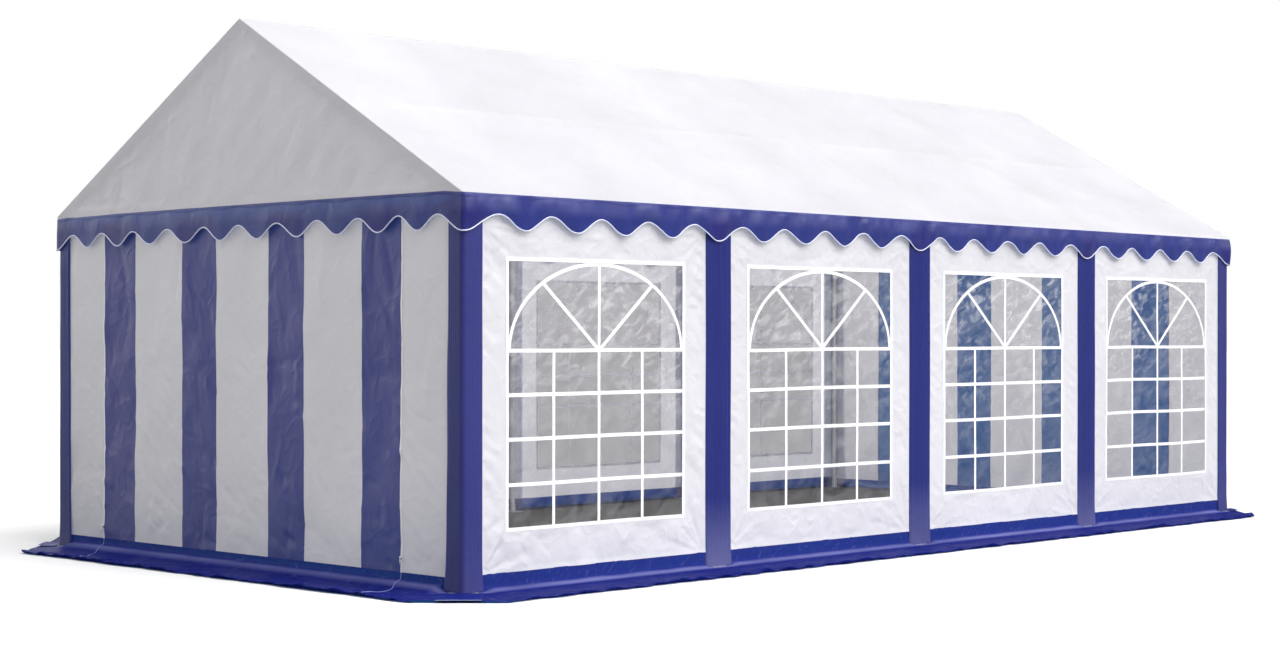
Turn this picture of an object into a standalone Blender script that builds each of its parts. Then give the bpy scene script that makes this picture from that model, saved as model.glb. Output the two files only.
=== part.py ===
"""Party tent, 4 m wide and 8 m long, with a gabled roof of 3.3 m.

A frame of round galvanised tube stands on foot plates: ten legs, five roof bows with their elbows and
cross sleeves, and five long tubes that run through the bows. Coated sheet covers it: two white roof
slopes, two white gable ends, a blue scalloped valance all round, eight white panels with windows along
the sides, striped walls under the gables, blue covers over the posts, and a blue skirt that folds out
on the ground.

X runs along the ridge, Y across the tent and Z up. The origin is on the ground at the middle.
"""

import math

import bmesh
import bpy
from mathutils import Vector

# Whole tent
EAVE_HALF_LENGTH = 4.048
EAVE_HALF_WIDTH = 2.018
RIDGE_HEIGHT = 3.288
EAVE_HEIGHT = 2.163
BAYS = 4
BAY = 2.0
SHEET = 0.004
GAP = 0.0003

# Walls: outer faces of the sheets, and their heights
WALL_HALF_LENGTH = 4.029
WALL_HALF_WIDTH = 1.998
WALL_TOP = 2.120
SIDE_BAND_TOP = 0.095
GABLE_BAND_TOP = 0.080
FOLD_TOP = 0.035

# Windows, the same in each bay
WINDOW_WIDTH = 1.388
WINDOW_BOTTOM = 0.340
WINDOW_TOP = 1.805
FILM = 0.002
FILM_MARGIN = 0.035

# Striped walls
STRIPES = 4
STRIPE_WIDTH = 0.350
STRIPE_PITCH = 0.871
TOP_HEM = 0.050

# Valance
VALANCE_TOP = 2.158
SCALLOP_CREST = 2.052
SCALLOP_TROUGH = 1.963
SIDE_SCALLOPS = 20
SIDE_SCALLOPS_HALF = 4.000
GABLE_SCALLOPS = 11
GABLE_SCALLOPS_HALF = 1.993
SCALLOP_STEPS = 8

# Covers over the posts and corners
COVER_STANDS_OUT = 0.0145
POST_COVER_WIDTH = 0.227
POST_COVER_STEPS = 12
LOBE_SEAM_WIDTH = 0.14
LOBE_SEAM_DEPTH = 0.18
CORNER_COVER_WIDTH = 0.110
CORNER_RADIUS = 0.022
CORNER_STEPS = 4
EDGE_TURN = 0.012

# Skirt on the ground
SKIRT_REACH = 0.465
SPREAD_CORNER = (-1, -1)
SPREAD_CORNER_CUT = 0.390
DRAWN_IN_CORNER_CUT = 0.760
FOLD_REACH = 0.110
FOLD_STEPS = 6

# Frame
TUBE_RADIUS = 0.021
TUBE_SIDES = 12
CROSS_SLEEVE_RADIUS = 0.0260
CROSS_SLEEVE_REACH = 0.090
LEG_SLEEVE_RADIUS = 0.0255
LEG_SLEEVE_REACH = 0.115
RAFTER_SLEEVE_RADIUS = 0.0250
RAFTER_SLEEVE_REACH = 0.120
MIDDLE_RAIL_SHARE = 0.5
FOOT_PLATE_WIDTH = 0.120
FOOT_PLATE_THICKNESS = 0.006
FOOT_SOCKET_HEIGHT = 0.060
CUT_PAST = 0.004
CUTTER_SIZE = 2.0

# Worked out from these
ROOF_SLOPE = math.atan2(RIDGE_HEIGHT - EAVE_HEIGHT, EAVE_HALF_WIDTH)
SHEET_DROP = SHEET / math.cos(ROOF_SLOPE)
AXIS_DROP = (SHEET + GAP + CROSS_SLEEVE_RADIUS) / math.cos(ROOF_SLOPE)
BORE_RADIUS = TUBE_RADIUS + GAP
INSIDE_WALL = SHEET + GAP
POST_HALF_LENGTH = WALL_HALF_LENGTH - INSIDE_WALL - CROSS_SLEEVE_RADIUS
POST_HALF_WIDTH = WALL_HALF_WIDTH - INSIDE_WALL - CROSS_SLEEVE_RADIUS
MIDDLE_RAIL_Y = POST_HALF_WIDTH * MIDDLE_RAIL_SHARE
BOW_X = (-POST_HALF_LENGTH, -BAY, 0.0, BAY, POST_HALF_LENGTH)

# How a flat outline stands: lying, facing along Y, and facing along X
LYING = (0.0, 0.0, 0.0)
FACING_Y = (math.pi / 2, 0.0, 0.0)
FACING_X = (math.pi / 2, 0.0, math.pi / 2)


def clear_scene():
    for old in list(bpy.data.objects):
        bpy.data.objects.remove(old)


def collection(name):
    made = bpy.data.collections.new(name)
    bpy.context.scene.collection.children.link(made)
    return made


def material(name, colour, roughness, metallic=0.0, alpha=1.0):
    made = bpy.data.materials.new(name)
    made.use_nodes = True
    shader = made.node_tree.nodes["Principled BSDF"]
    shader.inputs["Base Color"].default_value = (*colour, 1.0)
    shader.inputs["Roughness"].default_value = roughness
    shader.inputs["Metallic"].default_value = metallic
    shader.inputs["Alpha"].default_value = alpha
    made.diffuse_color = (*colour, alpha)
    return made


def move_to(obj, group):
    for holder in list(obj.users_collection):
        holder.objects.unlink(obj)
    group.objects.link(obj)
    return obj


def baked(obj, name):
    """The object as its modifiers leave it, as a welded mesh with its place and turn applied."""
    bpy.context.view_layer.update()
    graph = bpy.context.evaluated_depsgraph_get()
    mesh = bpy.data.meshes.new_from_object(obj.evaluated_get(graph))
    mesh.transform(obj.matrix_world)
    work = bmesh.new()
    work.from_mesh(mesh)
    bmesh.ops.remove_doubles(work, verts=work.verts, dist=0.00001)
    bmesh.ops.recalc_face_normals(work, faces=work.faces)
    work.to_mesh(mesh)
    work.free()
    bpy.data.objects.remove(obj)
    made = bpy.data.objects.new(name, mesh)
    bpy.context.scene.collection.objects.link(made)
    return made


def part(obj, finish):
    """Adds a finished object to the tent."""
    move_to(obj, TENT)
    obj.parent = ORIGIN
    obj.data.materials.clear()
    obj.data.materials.append(finish)
    obj.data.shade_smooth()
    obj.data.set_sharp_from_angle(angle=math.radians(35))
    return obj


def tube(name, start, end, radius):
    """A round bar between two points, with one of its corners always facing up or along X."""
    start, end = Vector(start), Vector(end)
    bpy.ops.mesh.primitive_cylinder_add(
        vertices=TUBE_SIDES,
        radius=radius,
        depth=(end - start).length,
        location=(start + end) / 2,
    )
    made = bpy.context.object
    made.name = name
    made.rotation_mode = "QUATERNION"
    made.rotation_quaternion = (end - start).to_track_quat("Z", "X")
    return made


def block(name, low, high):
    low, high = Vector(low), Vector(high)
    bpy.ops.mesh.primitive_cube_add(size=1.0, location=(low + high) / 2)
    made = bpy.context.object
    made.scale = high - low
    return baked(made, name)


def prism(name, outlines, thickness, stand, centre):
    """A flat outline, with any holes, given a thickness about its own plane."""
    curve = bpy.data.curves.new(name, "CURVE")
    curve.dimensions = "2D"
    curve.fill_mode = "BOTH"
    curve.extrude = thickness / 2
    for outline in outlines:
        spline = curve.splines.new("POLY")
        spline.points.add(len(outline) - 1)
        for point, (u, v) in zip(spline.points, outline):
            point.co = (u, v, 0.0, 1.0)
        spline.use_cyclic_u = True
    shape = bpy.data.objects.new(name + "_outline", curve)
    bpy.context.scene.collection.objects.link(shape)
    shape.rotation_euler = stand
    shape.location = centre
    return baked(shape, name)


def changed_by(obj, others, operation, name):
    """Joins the others to the object, or cuts them from it, in one step."""
    group = collection(name + "_" + operation.lower())
    for other in others:
        move_to(other, group)
    step = obj.modifiers.new(operation.lower(), "BOOLEAN")
    step.operation = operation
    step.operand_type = "COLLECTION"
    step.collection = group
    step.solver = "EXACT"
    made = baked(obj, name)
    for other in list(group.objects):
        bpy.data.objects.remove(other)
    bpy.data.collections.remove(group)
    return made


def rectangle(left, bottom, right, top):
    return [(left, bottom), (right, bottom), (right, top), (left, top)]


def roof_top(y):
    """Height of the roof's upper face."""
    return RIDGE_HEIGHT - abs(y) * math.tan(ROOF_SLOPE)


def axis_point(x, y):
    """Where a rafter's centre line lies at that distance from the ridge."""
    return Vector((x, y, roof_top(y) - AXIS_DROP))


# Frame

def leg_pattern():
    """A tube on a foot plate, in the short socket that holds it upright."""
    top = axis_point(0.0, POST_HALF_WIDTH).z - TUBE_RADIUS - 2 * GAP
    half = FOOT_PLATE_WIDTH / 2
    inside_plate = FOOT_PLATE_THICKNESS / 2
    plate = block("plate", (-half, -half, 0.0), (half, half, FOOT_PLATE_THICKNESS))
    socket = tube("socket", (0, 0, inside_plate), (0, 0, FOOT_SOCKET_HEIGHT), LEG_SLEEVE_RADIUS)
    post = tube("post", (0, 0, inside_plate), (0, 0, top), TUBE_RADIUS)
    return changed_by(plate, [socket, post], "UNION", "leg")


def legs():
    pattern = leg_pattern()
    for side, y in (("front", -POST_HALF_WIDTH), ("back", POST_HALF_WIDTH)):
        for number, x in enumerate(BOW_X, start=1):
            leg = bpy.data.objects.new(f"leg_{side}_{number}", pattern.data)
            leg.location = (x, y, 0.0)
            part(leg, STEEL)
    bpy.data.objects.remove(pattern)


def bow_pattern(name, reach_back, reach_on):
    """Two rafters with their ridge elbow, cross sleeves and eave elbows, bored for the long tubes."""
    pieces = []
    bores = []
    ridge = axis_point(0.0, 0.0)
    for side in (-1, 1):
        eave = axis_point(0.0, side * POST_HALF_WIDTH)
        middle = axis_point(0.0, side * MIDDLE_RAIL_Y)
        up = (ridge - eave).normalized()
        elbow_reach = up * RAFTER_SLEEVE_REACH
        sleeve_reach = up * CROSS_SLEEVE_REACH
        leg_mouth = eave - Vector((0.0, 0.0, LEG_SLEEVE_REACH))
        below_mouth = leg_mouth - Vector((0.0, 0.0, CUT_PAST))
        pieces.append(tube("rafter", eave, ridge, TUBE_RADIUS))
        pieces.append(tube("eave_elbow", eave, eave + elbow_reach, RAFTER_SLEEVE_RADIUS))
        pieces.append(tube("leg_sleeve", leg_mouth, eave, LEG_SLEEVE_RADIUS))
        pieces.append(tube("ridge_elbow", ridge - elbow_reach, ridge, RAFTER_SLEEVE_RADIUS))
        pieces.append(
            tube("middle_sleeve", middle - sleeve_reach, middle + sleeve_reach, RAFTER_SLEEVE_RADIUS)
        )
        bores.append(tube("leg_bore", below_mouth, eave, BORE_RADIUS))
    for y in (-POST_HALF_WIDTH, -MIDDLE_RAIL_Y, 0.0, MIDDLE_RAIL_Y, POST_HALF_WIDTH):
        start = axis_point(-reach_back, y)
        end = axis_point(reach_on, y)
        past = Vector((CUT_PAST, 0.0, 0.0))
        pieces.append(tube("cross_sleeve", start, end, CROSS_SLEEVE_RADIUS))
        bores.append(tube("rail_bore", start - past, end + past, BORE_RADIUS))
    bow = changed_by(pieces[0], pieces[1:], "UNION", name)
    return changed_by(bow, bores, "DIFFERENCE", name)


def roof_bows():
    """The end bows' sleeves stop at the gable walls, and the inner ones run on both ways."""
    first = bow_pattern("first_bow", CROSS_SLEEVE_RADIUS, CROSS_SLEEVE_REACH)
    inner = bow_pattern("inner_bow", CROSS_SLEEVE_REACH, CROSS_SLEEVE_REACH)
    last = bow_pattern("last_bow", CROSS_SLEEVE_REACH, CROSS_SLEEVE_RADIUS)
    patterns = (first, inner, inner, inner, last)
    for number, (x, pattern) in enumerate(zip(BOW_X, patterns), start=1):
        bow = bpy.data.objects.new(f"roof_bow_{number}", pattern.data)
        bow.location = (x, 0.0, 0.0)
        part(bow, STEEL)
    for pattern in (first, inner, last):
        bpy.data.objects.remove(pattern)


def rails():
    """The long tubes that run through every bow."""
    places = {
        "eave_rail_front": -POST_HALF_WIDTH,
        "middle_rail_front": -MIDDLE_RAIL_Y,
        "ridge_rail": 0.0,
        "middle_rail_back": MIDDLE_RAIL_Y,
        "eave_rail_back": POST_HALF_WIDTH,
    }
    reach = WALL_HALF_LENGTH - INSIDE_WALL
    for name, y in places.items():
        part(tube(name, axis_point(-reach, y), axis_point(reach, y), TUBE_RADIUS), STEEL)


# Roof

def roof_slopes():
    for name, side in (("roof_sheet_front", -1), ("roof_sheet_back", 1)):
        ridge, eave = GAP / 2, EAVE_HALF_WIDTH
        outline = [
            (side * ridge, roof_top(ridge)),
            (side * eave, roof_top(eave)),
            (side * eave, roof_top(eave) - SHEET_DROP),
            (side * ridge, roof_top(ridge) - SHEET_DROP),
        ]
        part(prism(name, [outline], 2 * EAVE_HALF_LENGTH, FACING_X, (0, 0, 0)), WHITE)


def gable_ends():
    """The white triangles over the striped walls."""
    half = EAVE_HALF_WIDTH - INSIDE_WALL
    base = VALANCE_TOP + GAP
    drop = SHEET_DROP + 2 * GAP
    outline = [
        (-half, base),
        (half, base),
        (half, roof_top(half) - drop),
        (0.0, roof_top(0.0) - drop),
        (-half, roof_top(half) - drop),
    ]
    for name, side in (("gable_end_left", -1), ("gable_end_right", 1)):
        centre = (side * (EAVE_HALF_LENGTH - SHEET / 2), 0.0, 0.0)
        part(prism(name, [outline], SHEET, FACING_X, centre), WHITE)


def valance_outline(half, scallops, scallops_half):
    """A straight top edge and a wave for the lower one, which ends in a trough near each corner."""
    middle = (SCALLOP_CREST + SCALLOP_TROUGH) / 2
    swing = (SCALLOP_CREST - SCALLOP_TROUGH) / 2
    steps = scallops * SCALLOP_STEPS
    outline = [(half, VALANCE_TOP), (-half, VALANCE_TOP), (-half, SCALLOP_TROUGH)]
    for step in range(steps + 1):
        turn = 2 * math.pi * step / SCALLOP_STEPS
        place = scallops_half * (2 * step / steps - 1)
        outline.append((place, middle - swing * math.cos(turn)))
    return outline + [(half, SCALLOP_TROUGH)]


def valances():
    end_half = EAVE_HALF_WIDTH - INSIDE_WALL
    side_outline = valance_outline(EAVE_HALF_LENGTH, SIDE_SCALLOPS, SIDE_SCALLOPS_HALF)
    end_outline = valance_outline(end_half, GABLE_SCALLOPS, GABLE_SCALLOPS_HALF)
    side_y = EAVE_HALF_WIDTH - SHEET / 2
    end_x = EAVE_HALF_LENGTH - SHEET / 2
    part(prism("valance_front", [side_outline], SHEET, FACING_Y, (0, -side_y, 0)), BLUE)
    part(prism("valance_back", [side_outline], SHEET, FACING_Y, (0, side_y, 0)), BLUE)
    part(prism("valance_left", [end_outline], SHEET, FACING_X, (-end_x, 0, 0)), BLUE)
    part(prism("valance_right", [end_outline], SHEET, FACING_X, (end_x, 0, 0)), BLUE)


# Side walls

def window_walls():
    """One panel for each bay, with its window cut through. Neighbours meet behind the post covers."""
    for side_name, side in (("front", -1), ("back", 1)):
        y = side * (WALL_HALF_WIDTH - SHEET / 2)
        for number in range(BAYS):
            start = (number - BAYS / 2) * BAY
            low = -WALL_HALF_LENGTH if number == 0 else start + GAP / 2
            high = WALL_HALF_LENGTH if number == BAYS - 1 else start + BAY - GAP / 2
            left = start + (BAY - WINDOW_WIDTH) / 2
            panel = rectangle(low, SIDE_BAND_TOP + GAP, high, WALL_TOP)
            hole = rectangle(left, WINDOW_BOTTOM, left + WINDOW_WIDTH, WINDOW_TOP)
            name = f"window_wall_{side_name}_{number + 1}"
            part(prism(name, [panel, hole], SHEET, FACING_Y, (0, y, 0)), WHITE)


def window_films():
    """Clear film behind a side's windows, in one sheet."""
    half = ((BAYS - 1) * BAY + WINDOW_WIDTH) / 2 + FILM_MARGIN
    outer = WALL_HALF_WIDTH - INSIDE_WALL
    inner = outer - FILM
    low, high = WINDOW_BOTTOM - FILM_MARGIN, WINDOW_TOP + FILM_MARGIN
    part(block("window_film_front", (-half, -outer, low), (half, -inner, high)), CLEAR)
    part(block("window_film_back", (-half, inner, low), (half, outer, high)), CLEAR)


# Striped walls

def stripe_edges():
    """Left and right edge of each blue stripe, from one side to the other."""
    first = -STRIPE_PITCH * (STRIPES - 1) / 2
    centres = [first + STRIPE_PITCH * number for number in range(STRIPES)]
    return [(centre - STRIPE_WIDTH / 2, centre + STRIPE_WIDTH / 2) for centre in centres]


def blue_stripe_outline(half, hem):
    """The base band with the blue stripes standing on it."""
    outline = [(half, FOLD_TOP), (half, GABLE_BAND_TOP)]
    for left, right in reversed(stripe_edges()):
        outline += [(right, GABLE_BAND_TOP), (right, hem - GAP)]
        outline += [(left, hem - GAP), (left, GABLE_BAND_TOP)]
    return outline + [(-half, GABLE_BAND_TOP), (-half, FOLD_TOP)]


def white_stripe_outline(half, hem):
    """The top hem with the white stripes hanging from it."""
    base = GABLE_BAND_TOP + GAP
    outline = [(-half, WALL_TOP), (-half, base)]
    for left, right in stripe_edges():
        outline += [(left - GAP, base), (left - GAP, hem)]
        outline += [(right + GAP, hem), (right + GAP, base)]
    return outline + [(half, base), (half, WALL_TOP)]


def striped_walls():
    half = WALL_HALF_WIDTH - INSIDE_WALL
    hem = WALL_TOP - TOP_HEM
    blue = blue_stripe_outline(half, hem)
    white = white_stripe_outline(half, hem)
    for name, side in (("left", -1), ("right", 1)):
        centre = (side * (WALL_HALF_LENGTH - SHEET / 2), 0.0, 0.0)
        part(prism(f"gable_blue_stripes_{name}", [blue], SHEET, FACING_X, centre), BLUE)
        part(prism(f"gable_white_stripes_{name}", [white], SHEET, FACING_X, centre), WHITE)


# Covers over the posts and corners

def bent_sheet(outer_line):
    """Outline of a bent sheet, from points on its outer face and the way in from each."""
    outer = [tuple(point) for point, inward in outer_line]
    inner = [tuple(point + inward * SHEET) for point, inward in outer_line]
    return outer + inner[::-1]


def post_cover_section():
    """Two soft lobes side by side, with a seam between them."""
    half = POST_COVER_WIDTH / 2
    line = []
    for step in range(POST_COVER_STEPS + 1):
        u = 2 * step / POST_COVER_STEPS - 1
        lobes = math.sqrt(1 - u**4)
        seam = 1 - LOBE_SEAM_DEPTH * math.exp(-((u / LOBE_SEAM_WIDTH) ** 2))
        out = INSIDE_WALL + (COVER_STANDS_OUT - INSIDE_WALL) * lobes * seam
        line.append((Vector((u * half, -out)), Vector((0.0, 1.0))))
    return bent_sheet(line)


def post_covers():
    height = WALL_TOP - FOLD_TOP - GAP
    middle = FOLD_TOP + GAP + height / 2
    section = post_cover_section()
    for side_name, side in (("front", 1), ("back", -1)):
        outline = [(side * u, side * v) for u, v in section]
        for number in range(1, BAYS):
            centre = ((number - BAYS / 2) * BAY, -side * WALL_HALF_WIDTH, middle)
            part(prism(f"post_cover_{side_name}_{number}", [outline], height, LYING, centre), BLUE)


def corner_cover_section():
    """An angle with a rounded corner, its two edges turned back to the walls."""
    out, wide = COVER_STANDS_OUT, CORNER_COVER_WIDTH
    bevel = math.tan(math.pi / 8)
    line = [
        (Vector((wide, GAP)), Vector((-1.0, 0.0))),
        (Vector((wide, out - EDGE_TURN)), Vector((-1.0, -bevel))),
        (Vector((wide - EDGE_TURN, out)), Vector((-bevel, -1.0))),
    ]
    centre = Vector((CORNER_RADIUS - out, out - CORNER_RADIUS))
    for step in range(CORNER_STEPS + 1):
        angle = math.pi / 2 * step / CORNER_STEPS
        way = Vector((-math.sin(angle), math.cos(angle)))
        line.append((centre + way * CORNER_RADIUS, -way))
    line += [
        (Vector((-out, EDGE_TURN - wide)), Vector((1.0, bevel))),
        (Vector((EDGE_TURN - out, -wide)), Vector((bevel, 1.0))),
        (Vector((-GAP, -wide)), Vector((0.0, 1.0))),
    ]
    return bent_sheet(line)


def corner_covers():
    height = WALL_TOP - FOLD_TOP - GAP
    middle = FOLD_TOP + GAP + height / 2
    section = corner_cover_section()
    for side_name, side_y in (("front", -1), ("back", 1)):
        for end_name, side_x in (("left", -1), ("right", 1)):
            outline = [(-side_x * u, side_y * v) for u, v in section]
            centre = (side_x * WALL_HALF_LENGTH, side_y * WALL_HALF_WIDTH, middle)
            name = f"corner_cover_{side_name}_{end_name}"
            part(prism(name, [outline], height, LYING, centre), BLUE)


# Base band and skirt

def base_bands():
    """The upright blue band under the window panels."""
    outer = WALL_HALF_WIDTH
    inner = WALL_HALF_WIDTH - SHEET
    half = WALL_HALF_LENGTH
    low, high = FOLD_TOP, SIDE_BAND_TOP
    part(block("base_band_front", (-half, -outer, low), (half, -inner, high)), BLUE)
    part(block("base_band_back", (-half, inner, low), (half, outer, high)), BLUE)


def skirt_section():
    """From the wall's foot, out over the fold and flat along the ground, as (way out, height)."""
    top = FOLD_TOP - GAP
    upper = [(0.0, top)]
    lower = [(-SHEET, top), (-SHEET, top - SHEET)]
    for step in range(1, FOLD_STEPS + 1):
        share = step / FOLD_STEPS
        fall = math.sin(share * math.pi / 2)
        height = top + (SHEET - top) * fall
        upper.append((FOLD_REACH * share, height))
        lower.append((FOLD_REACH * share - SHEET / 2, height - SHEET))
    upper.append((SKIRT_REACH, SHEET))
    lower.append((SKIRT_REACH, 0.0))
    return upper + lower[::-1]


def diagonal_cutter(x, y, way):
    """A block turned by 45 degrees, with one face through the point and the rest along the way."""
    half = CUTTER_SIZE / 2
    made = block("cutter", (-half, -half, -half), (half, half, half))
    made.rotation_euler = (0.0, 0.0, math.pi / 4)
    made.location = Vector((x, y, 0.0)) + Vector(way).normalized() * half
    return made


def corner_cutters(side_x, side_y, mitre_way):
    """Cuts one end of a skirt to its mitre, and takes off the tip of the corner."""
    mitre = Vector((side_x, -side_y, 0.0)).normalized() * mitre_way
    corner = Vector((side_x * WALL_HALF_LENGTH, side_y * WALL_HALF_WIDTH, 0.0)) - mitre * GAP / 2
    outward = Vector((side_x, side_y, 0.0)).normalized()
    tip_x = side_x * (WALL_HALF_LENGTH + SKIRT_REACH)
    tip_y = side_y * (WALL_HALF_WIDTH + SKIRT_REACH)
    cut = SPREAD_CORNER_CUT if (side_x, side_y) == SPREAD_CORNER else DRAWN_IN_CORNER_CUT
    chamfer = Vector((tip_x, tip_y, 0.0)) - outward * cut / math.sqrt(2)
    return [
        diagonal_cutter(corner.x, corner.y, mitre),
        diagonal_cutter(chamfer.x, chamfer.y, outward),
    ]


def skirts():
    for name, side in (("front", -1), ("back", 1)):
        section = [(side * out, height) for out, height in skirt_section()]
        length = 2 * (WALL_HALF_LENGTH + SKIRT_REACH + GAP)
        centre = (0.0, side * WALL_HALF_WIDTH, 0.0)
        strip = prism(f"{name}_strip", [section], length, FACING_X, centre)
        cutters = corner_cutters(-1, side, 1) + corner_cutters(1, side, 1)
        part(changed_by(strip, cutters, "DIFFERENCE", f"ground_skirt_{name}"), BLUE)
    for name, end in (("left", -1), ("right", 1)):
        section = [(end * out, height) for out, height in skirt_section()]
        length = 2 * (WALL_HALF_WIDTH + SKIRT_REACH + GAP)
        centre = (end * WALL_HALF_LENGTH, 0.0, 0.0)
        strip = prism(f"{name}_strip", [section], length, FACING_Y, centre)
        cutters = corner_cutters(end, -1, -1) + corner_cutters(end, 1, -1)
        part(changed_by(strip, cutters, "DIFFERENCE", f"ground_skirt_{name}"), BLUE)


clear_scene()
TENT = collection("party_tent")
ORIGIN = bpy.data.objects.new("tent_origin", None)
TENT.objects.link(ORIGIN)
STEEL = material("galvanised_steel", (0.55, 0.57, 0.58), 0.42, metallic=1.0)
WHITE = material("white_sheet", (0.86, 0.86, 0.88), 0.45)
BLUE = material("blue_sheet", (0.030, 0.035, 0.260), 0.40)
CLEAR = material("clear_film", (0.80, 0.82, 0.84), 0.15, alpha=0.35)
legs()
roof_bows()
rails()
roof_slopes()
gable_ends()
valances()
window_walls()
window_films()
striped_walls()
post_covers()
corner_covers()
base_bands()
skirts()
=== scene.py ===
"""Party tent, 4 m by 8 m, dressed: coated covers, window film, piping, zips and galvanised tubes."""

import math

import bmesh
import bpy
import numpy as np
from mathutils import Matrix, Vector


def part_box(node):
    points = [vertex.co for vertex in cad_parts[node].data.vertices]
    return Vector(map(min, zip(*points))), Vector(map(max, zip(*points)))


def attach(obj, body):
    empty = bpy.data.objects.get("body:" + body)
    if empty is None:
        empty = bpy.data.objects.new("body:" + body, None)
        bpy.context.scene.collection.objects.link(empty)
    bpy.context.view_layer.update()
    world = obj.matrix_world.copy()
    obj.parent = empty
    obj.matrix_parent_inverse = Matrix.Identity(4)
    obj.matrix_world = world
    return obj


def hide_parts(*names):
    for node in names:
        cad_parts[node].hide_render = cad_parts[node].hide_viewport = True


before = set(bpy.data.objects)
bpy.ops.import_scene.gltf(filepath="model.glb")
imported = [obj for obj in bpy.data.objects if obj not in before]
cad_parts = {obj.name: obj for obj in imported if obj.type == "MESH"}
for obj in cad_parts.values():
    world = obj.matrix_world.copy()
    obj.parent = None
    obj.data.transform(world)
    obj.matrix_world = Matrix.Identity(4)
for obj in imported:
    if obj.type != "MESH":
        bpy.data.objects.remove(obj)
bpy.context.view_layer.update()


# The camera stands at eye height off the near corner. It looks level along the diagonal, and leans
# by less than a tenth of a degree.
camera_place = Vector((-12.1564, -11.1711, 1.4138))
camera_heading = math.radians(44.013)
camera_lean = math.radians(0.069)
camera_lens = 63.90

camera = bpy.data.objects.new("camera", bpy.data.cameras.new("camera"))
camera.data.sensor_width = 36.0
camera.data.lens = camera_lens
camera.data.clip_end = 400.0
camera.matrix_world = (
    Matrix.Translation(camera_place)
    @ Matrix.Rotation(camera_heading - math.pi / 2, 4, "Z")
    @ Matrix.Rotation(math.pi / 2, 4, "X")
    @ Matrix.Rotation(camera_lean, 4, "Z")
)
bpy.context.scene.collection.objects.link(camera)
bpy.context.scene.camera = camera


# The floor is a plain pale disc, wide enough to meet the white backdrop at the horizon. It throws
# less light back at the tent than it shows, so that the walls in shade stay grey.
def add_node(tree, kind, **sockets):
    """A shader node with some of its sockets set. An underscore in a name stands for a space."""
    made = tree.nodes.new(kind)
    for name, value in sockets.items():
        made.inputs[name.replace("_", " ")].default_value = value
    return made


def arithmetic(tree, operation, first, second=None, value=None, clamp=False):
    """A Math node on one or two links, or on a link and a value."""
    made = add_node(tree, "ShaderNodeMath")
    made.operation = operation
    made.use_clamp = clamp
    tree.links.new(first, made.inputs[0])
    if second is not None:
        tree.links.new(second, made.inputs[1])
    elif value is not None:
        made.inputs[1].default_value = value
    return made.outputs[0]


def rescaled(tree, value, low, high, start=0.0, end=1.0):
    """A measure from low to high turned into one from start to end, and kept between them."""
    made = add_node(tree, "ShaderNodeMapRange", From_Min=low, From_Max=high, To_Min=start, To_Max=end)
    tree.links.new(value, made.inputs["Value"])
    return made.outputs["Result"]


def place_on(tree):
    """Where a point lies, in the tent's own measures."""
    return add_node(tree, "ShaderNodeTexCoord").outputs["Object"]


def along_axis(tree, place, axis):
    parts = add_node(tree, "ShaderNodeSeparateXYZ")
    tree.links.new(place, parts.inputs[0])
    return parts.outputs[axis]


def past_walls(tree, place, half_length, half_width):
    """How far a point lies outside the end wall and outside the side wall."""
    return [
        arithmetic(tree, "SUBTRACT", arithmetic(tree, "ABSOLUTE", along_axis(tree, place, axis)), value=half)
        for axis, half in (("X", half_length), ("Y", half_width))
    ]


def seen_directly(tree):
    """1 for what the camera sees with no window film in between."""
    path = add_node(tree, "ShaderNodeLightPath")
    return arithmetic(
        tree, "SUBTRACT", path.outputs["Is Camera Ray"], path.outputs["Transparent Depth"], clamp=True
    )


def choice(tree, share, first, second):
    """One shader where the share is 0 and another where it is 1."""
    made = add_node(tree, "ShaderNodeMixShader")
    tree.links.new(share, made.inputs[0])
    tree.links.new(first, made.inputs[1])
    tree.links.new(second, made.inputs[2])
    return made.outputs[0]


ground_half = (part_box("leg_back_5")[1].x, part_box("leg_back_5")[1].y)
floor_shown = (0.97, 0.97, 0.97)
floor_thrown = (0.41, 0.41, 0.42)
floor_shade_under_tent = (0.165, 0.160, 0.150)
floor_outside = (0.265, 0.260, 0.265)


def floor_finish():
    """Nearly white, darker through a window and in painted shade under the tent; throws back middling light.
    """
    made = bpy.data.materials.new("pale_floor")
    made.use_nodes = True
    tree = made.node_tree
    tree.nodes.remove(tree.nodes["Principled BSDF"])
    shown, thrown, inside, outside = [
        add_node(tree, "ShaderNodeBsdfDiffuse", Color=(*colour, 1.0)).outputs[0]
        for colour in (floor_shown, floor_thrown, floor_shade_under_tent, floor_outside)
    ]
    # Painted shade: seen through a window, the floor is darker under the tent than beyond it.
    beyond = arithmetic(tree, "MAXIMUM", *past_walls(tree, place_on(tree), *ground_half))
    behind_film = choice(tree, rescaled(tree, beyond, -0.05, 0.05), inside, outside)
    path = add_node(tree, "ShaderNodeLightPath")
    unseen = choice(tree, path.outputs["Is Camera Ray"], thrown, behind_film)
    finish = choice(tree, seen_directly(tree), unseen, shown)
    tree.links.new(finish, tree.nodes["Material Output"].inputs["Surface"])
    return made


floor_radius = 160.0
floor_drop = 0.0015

bpy.ops.mesh.primitive_circle_add(
    vertices=96, radius=floor_radius, fill_type="NGON", location=(0, 0, -floor_drop)
)
floor = bpy.context.object
floor.name = "studio_floor"
floor.data.materials.append(floor_finish())


# The light is a white studio: soft from everywhere, strong from a wide patch high in front of the
# long side, and with a pale card low behind the tent, which shines through its back wall. The
# backdrop itself shows white.
patch_from = Vector((0.17, -0.65, 0.74)).normalized()
patch_light = 6.75
patch_narrowness = 8.0
card_from = Vector((0.0, 0.99, 0.12)).normalized()
card_light = 2.9
card_narrowness = 5.0
all_round_light = 0.25
backdrop_white = 1.0
backdrop_behind_film = 0.44


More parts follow.
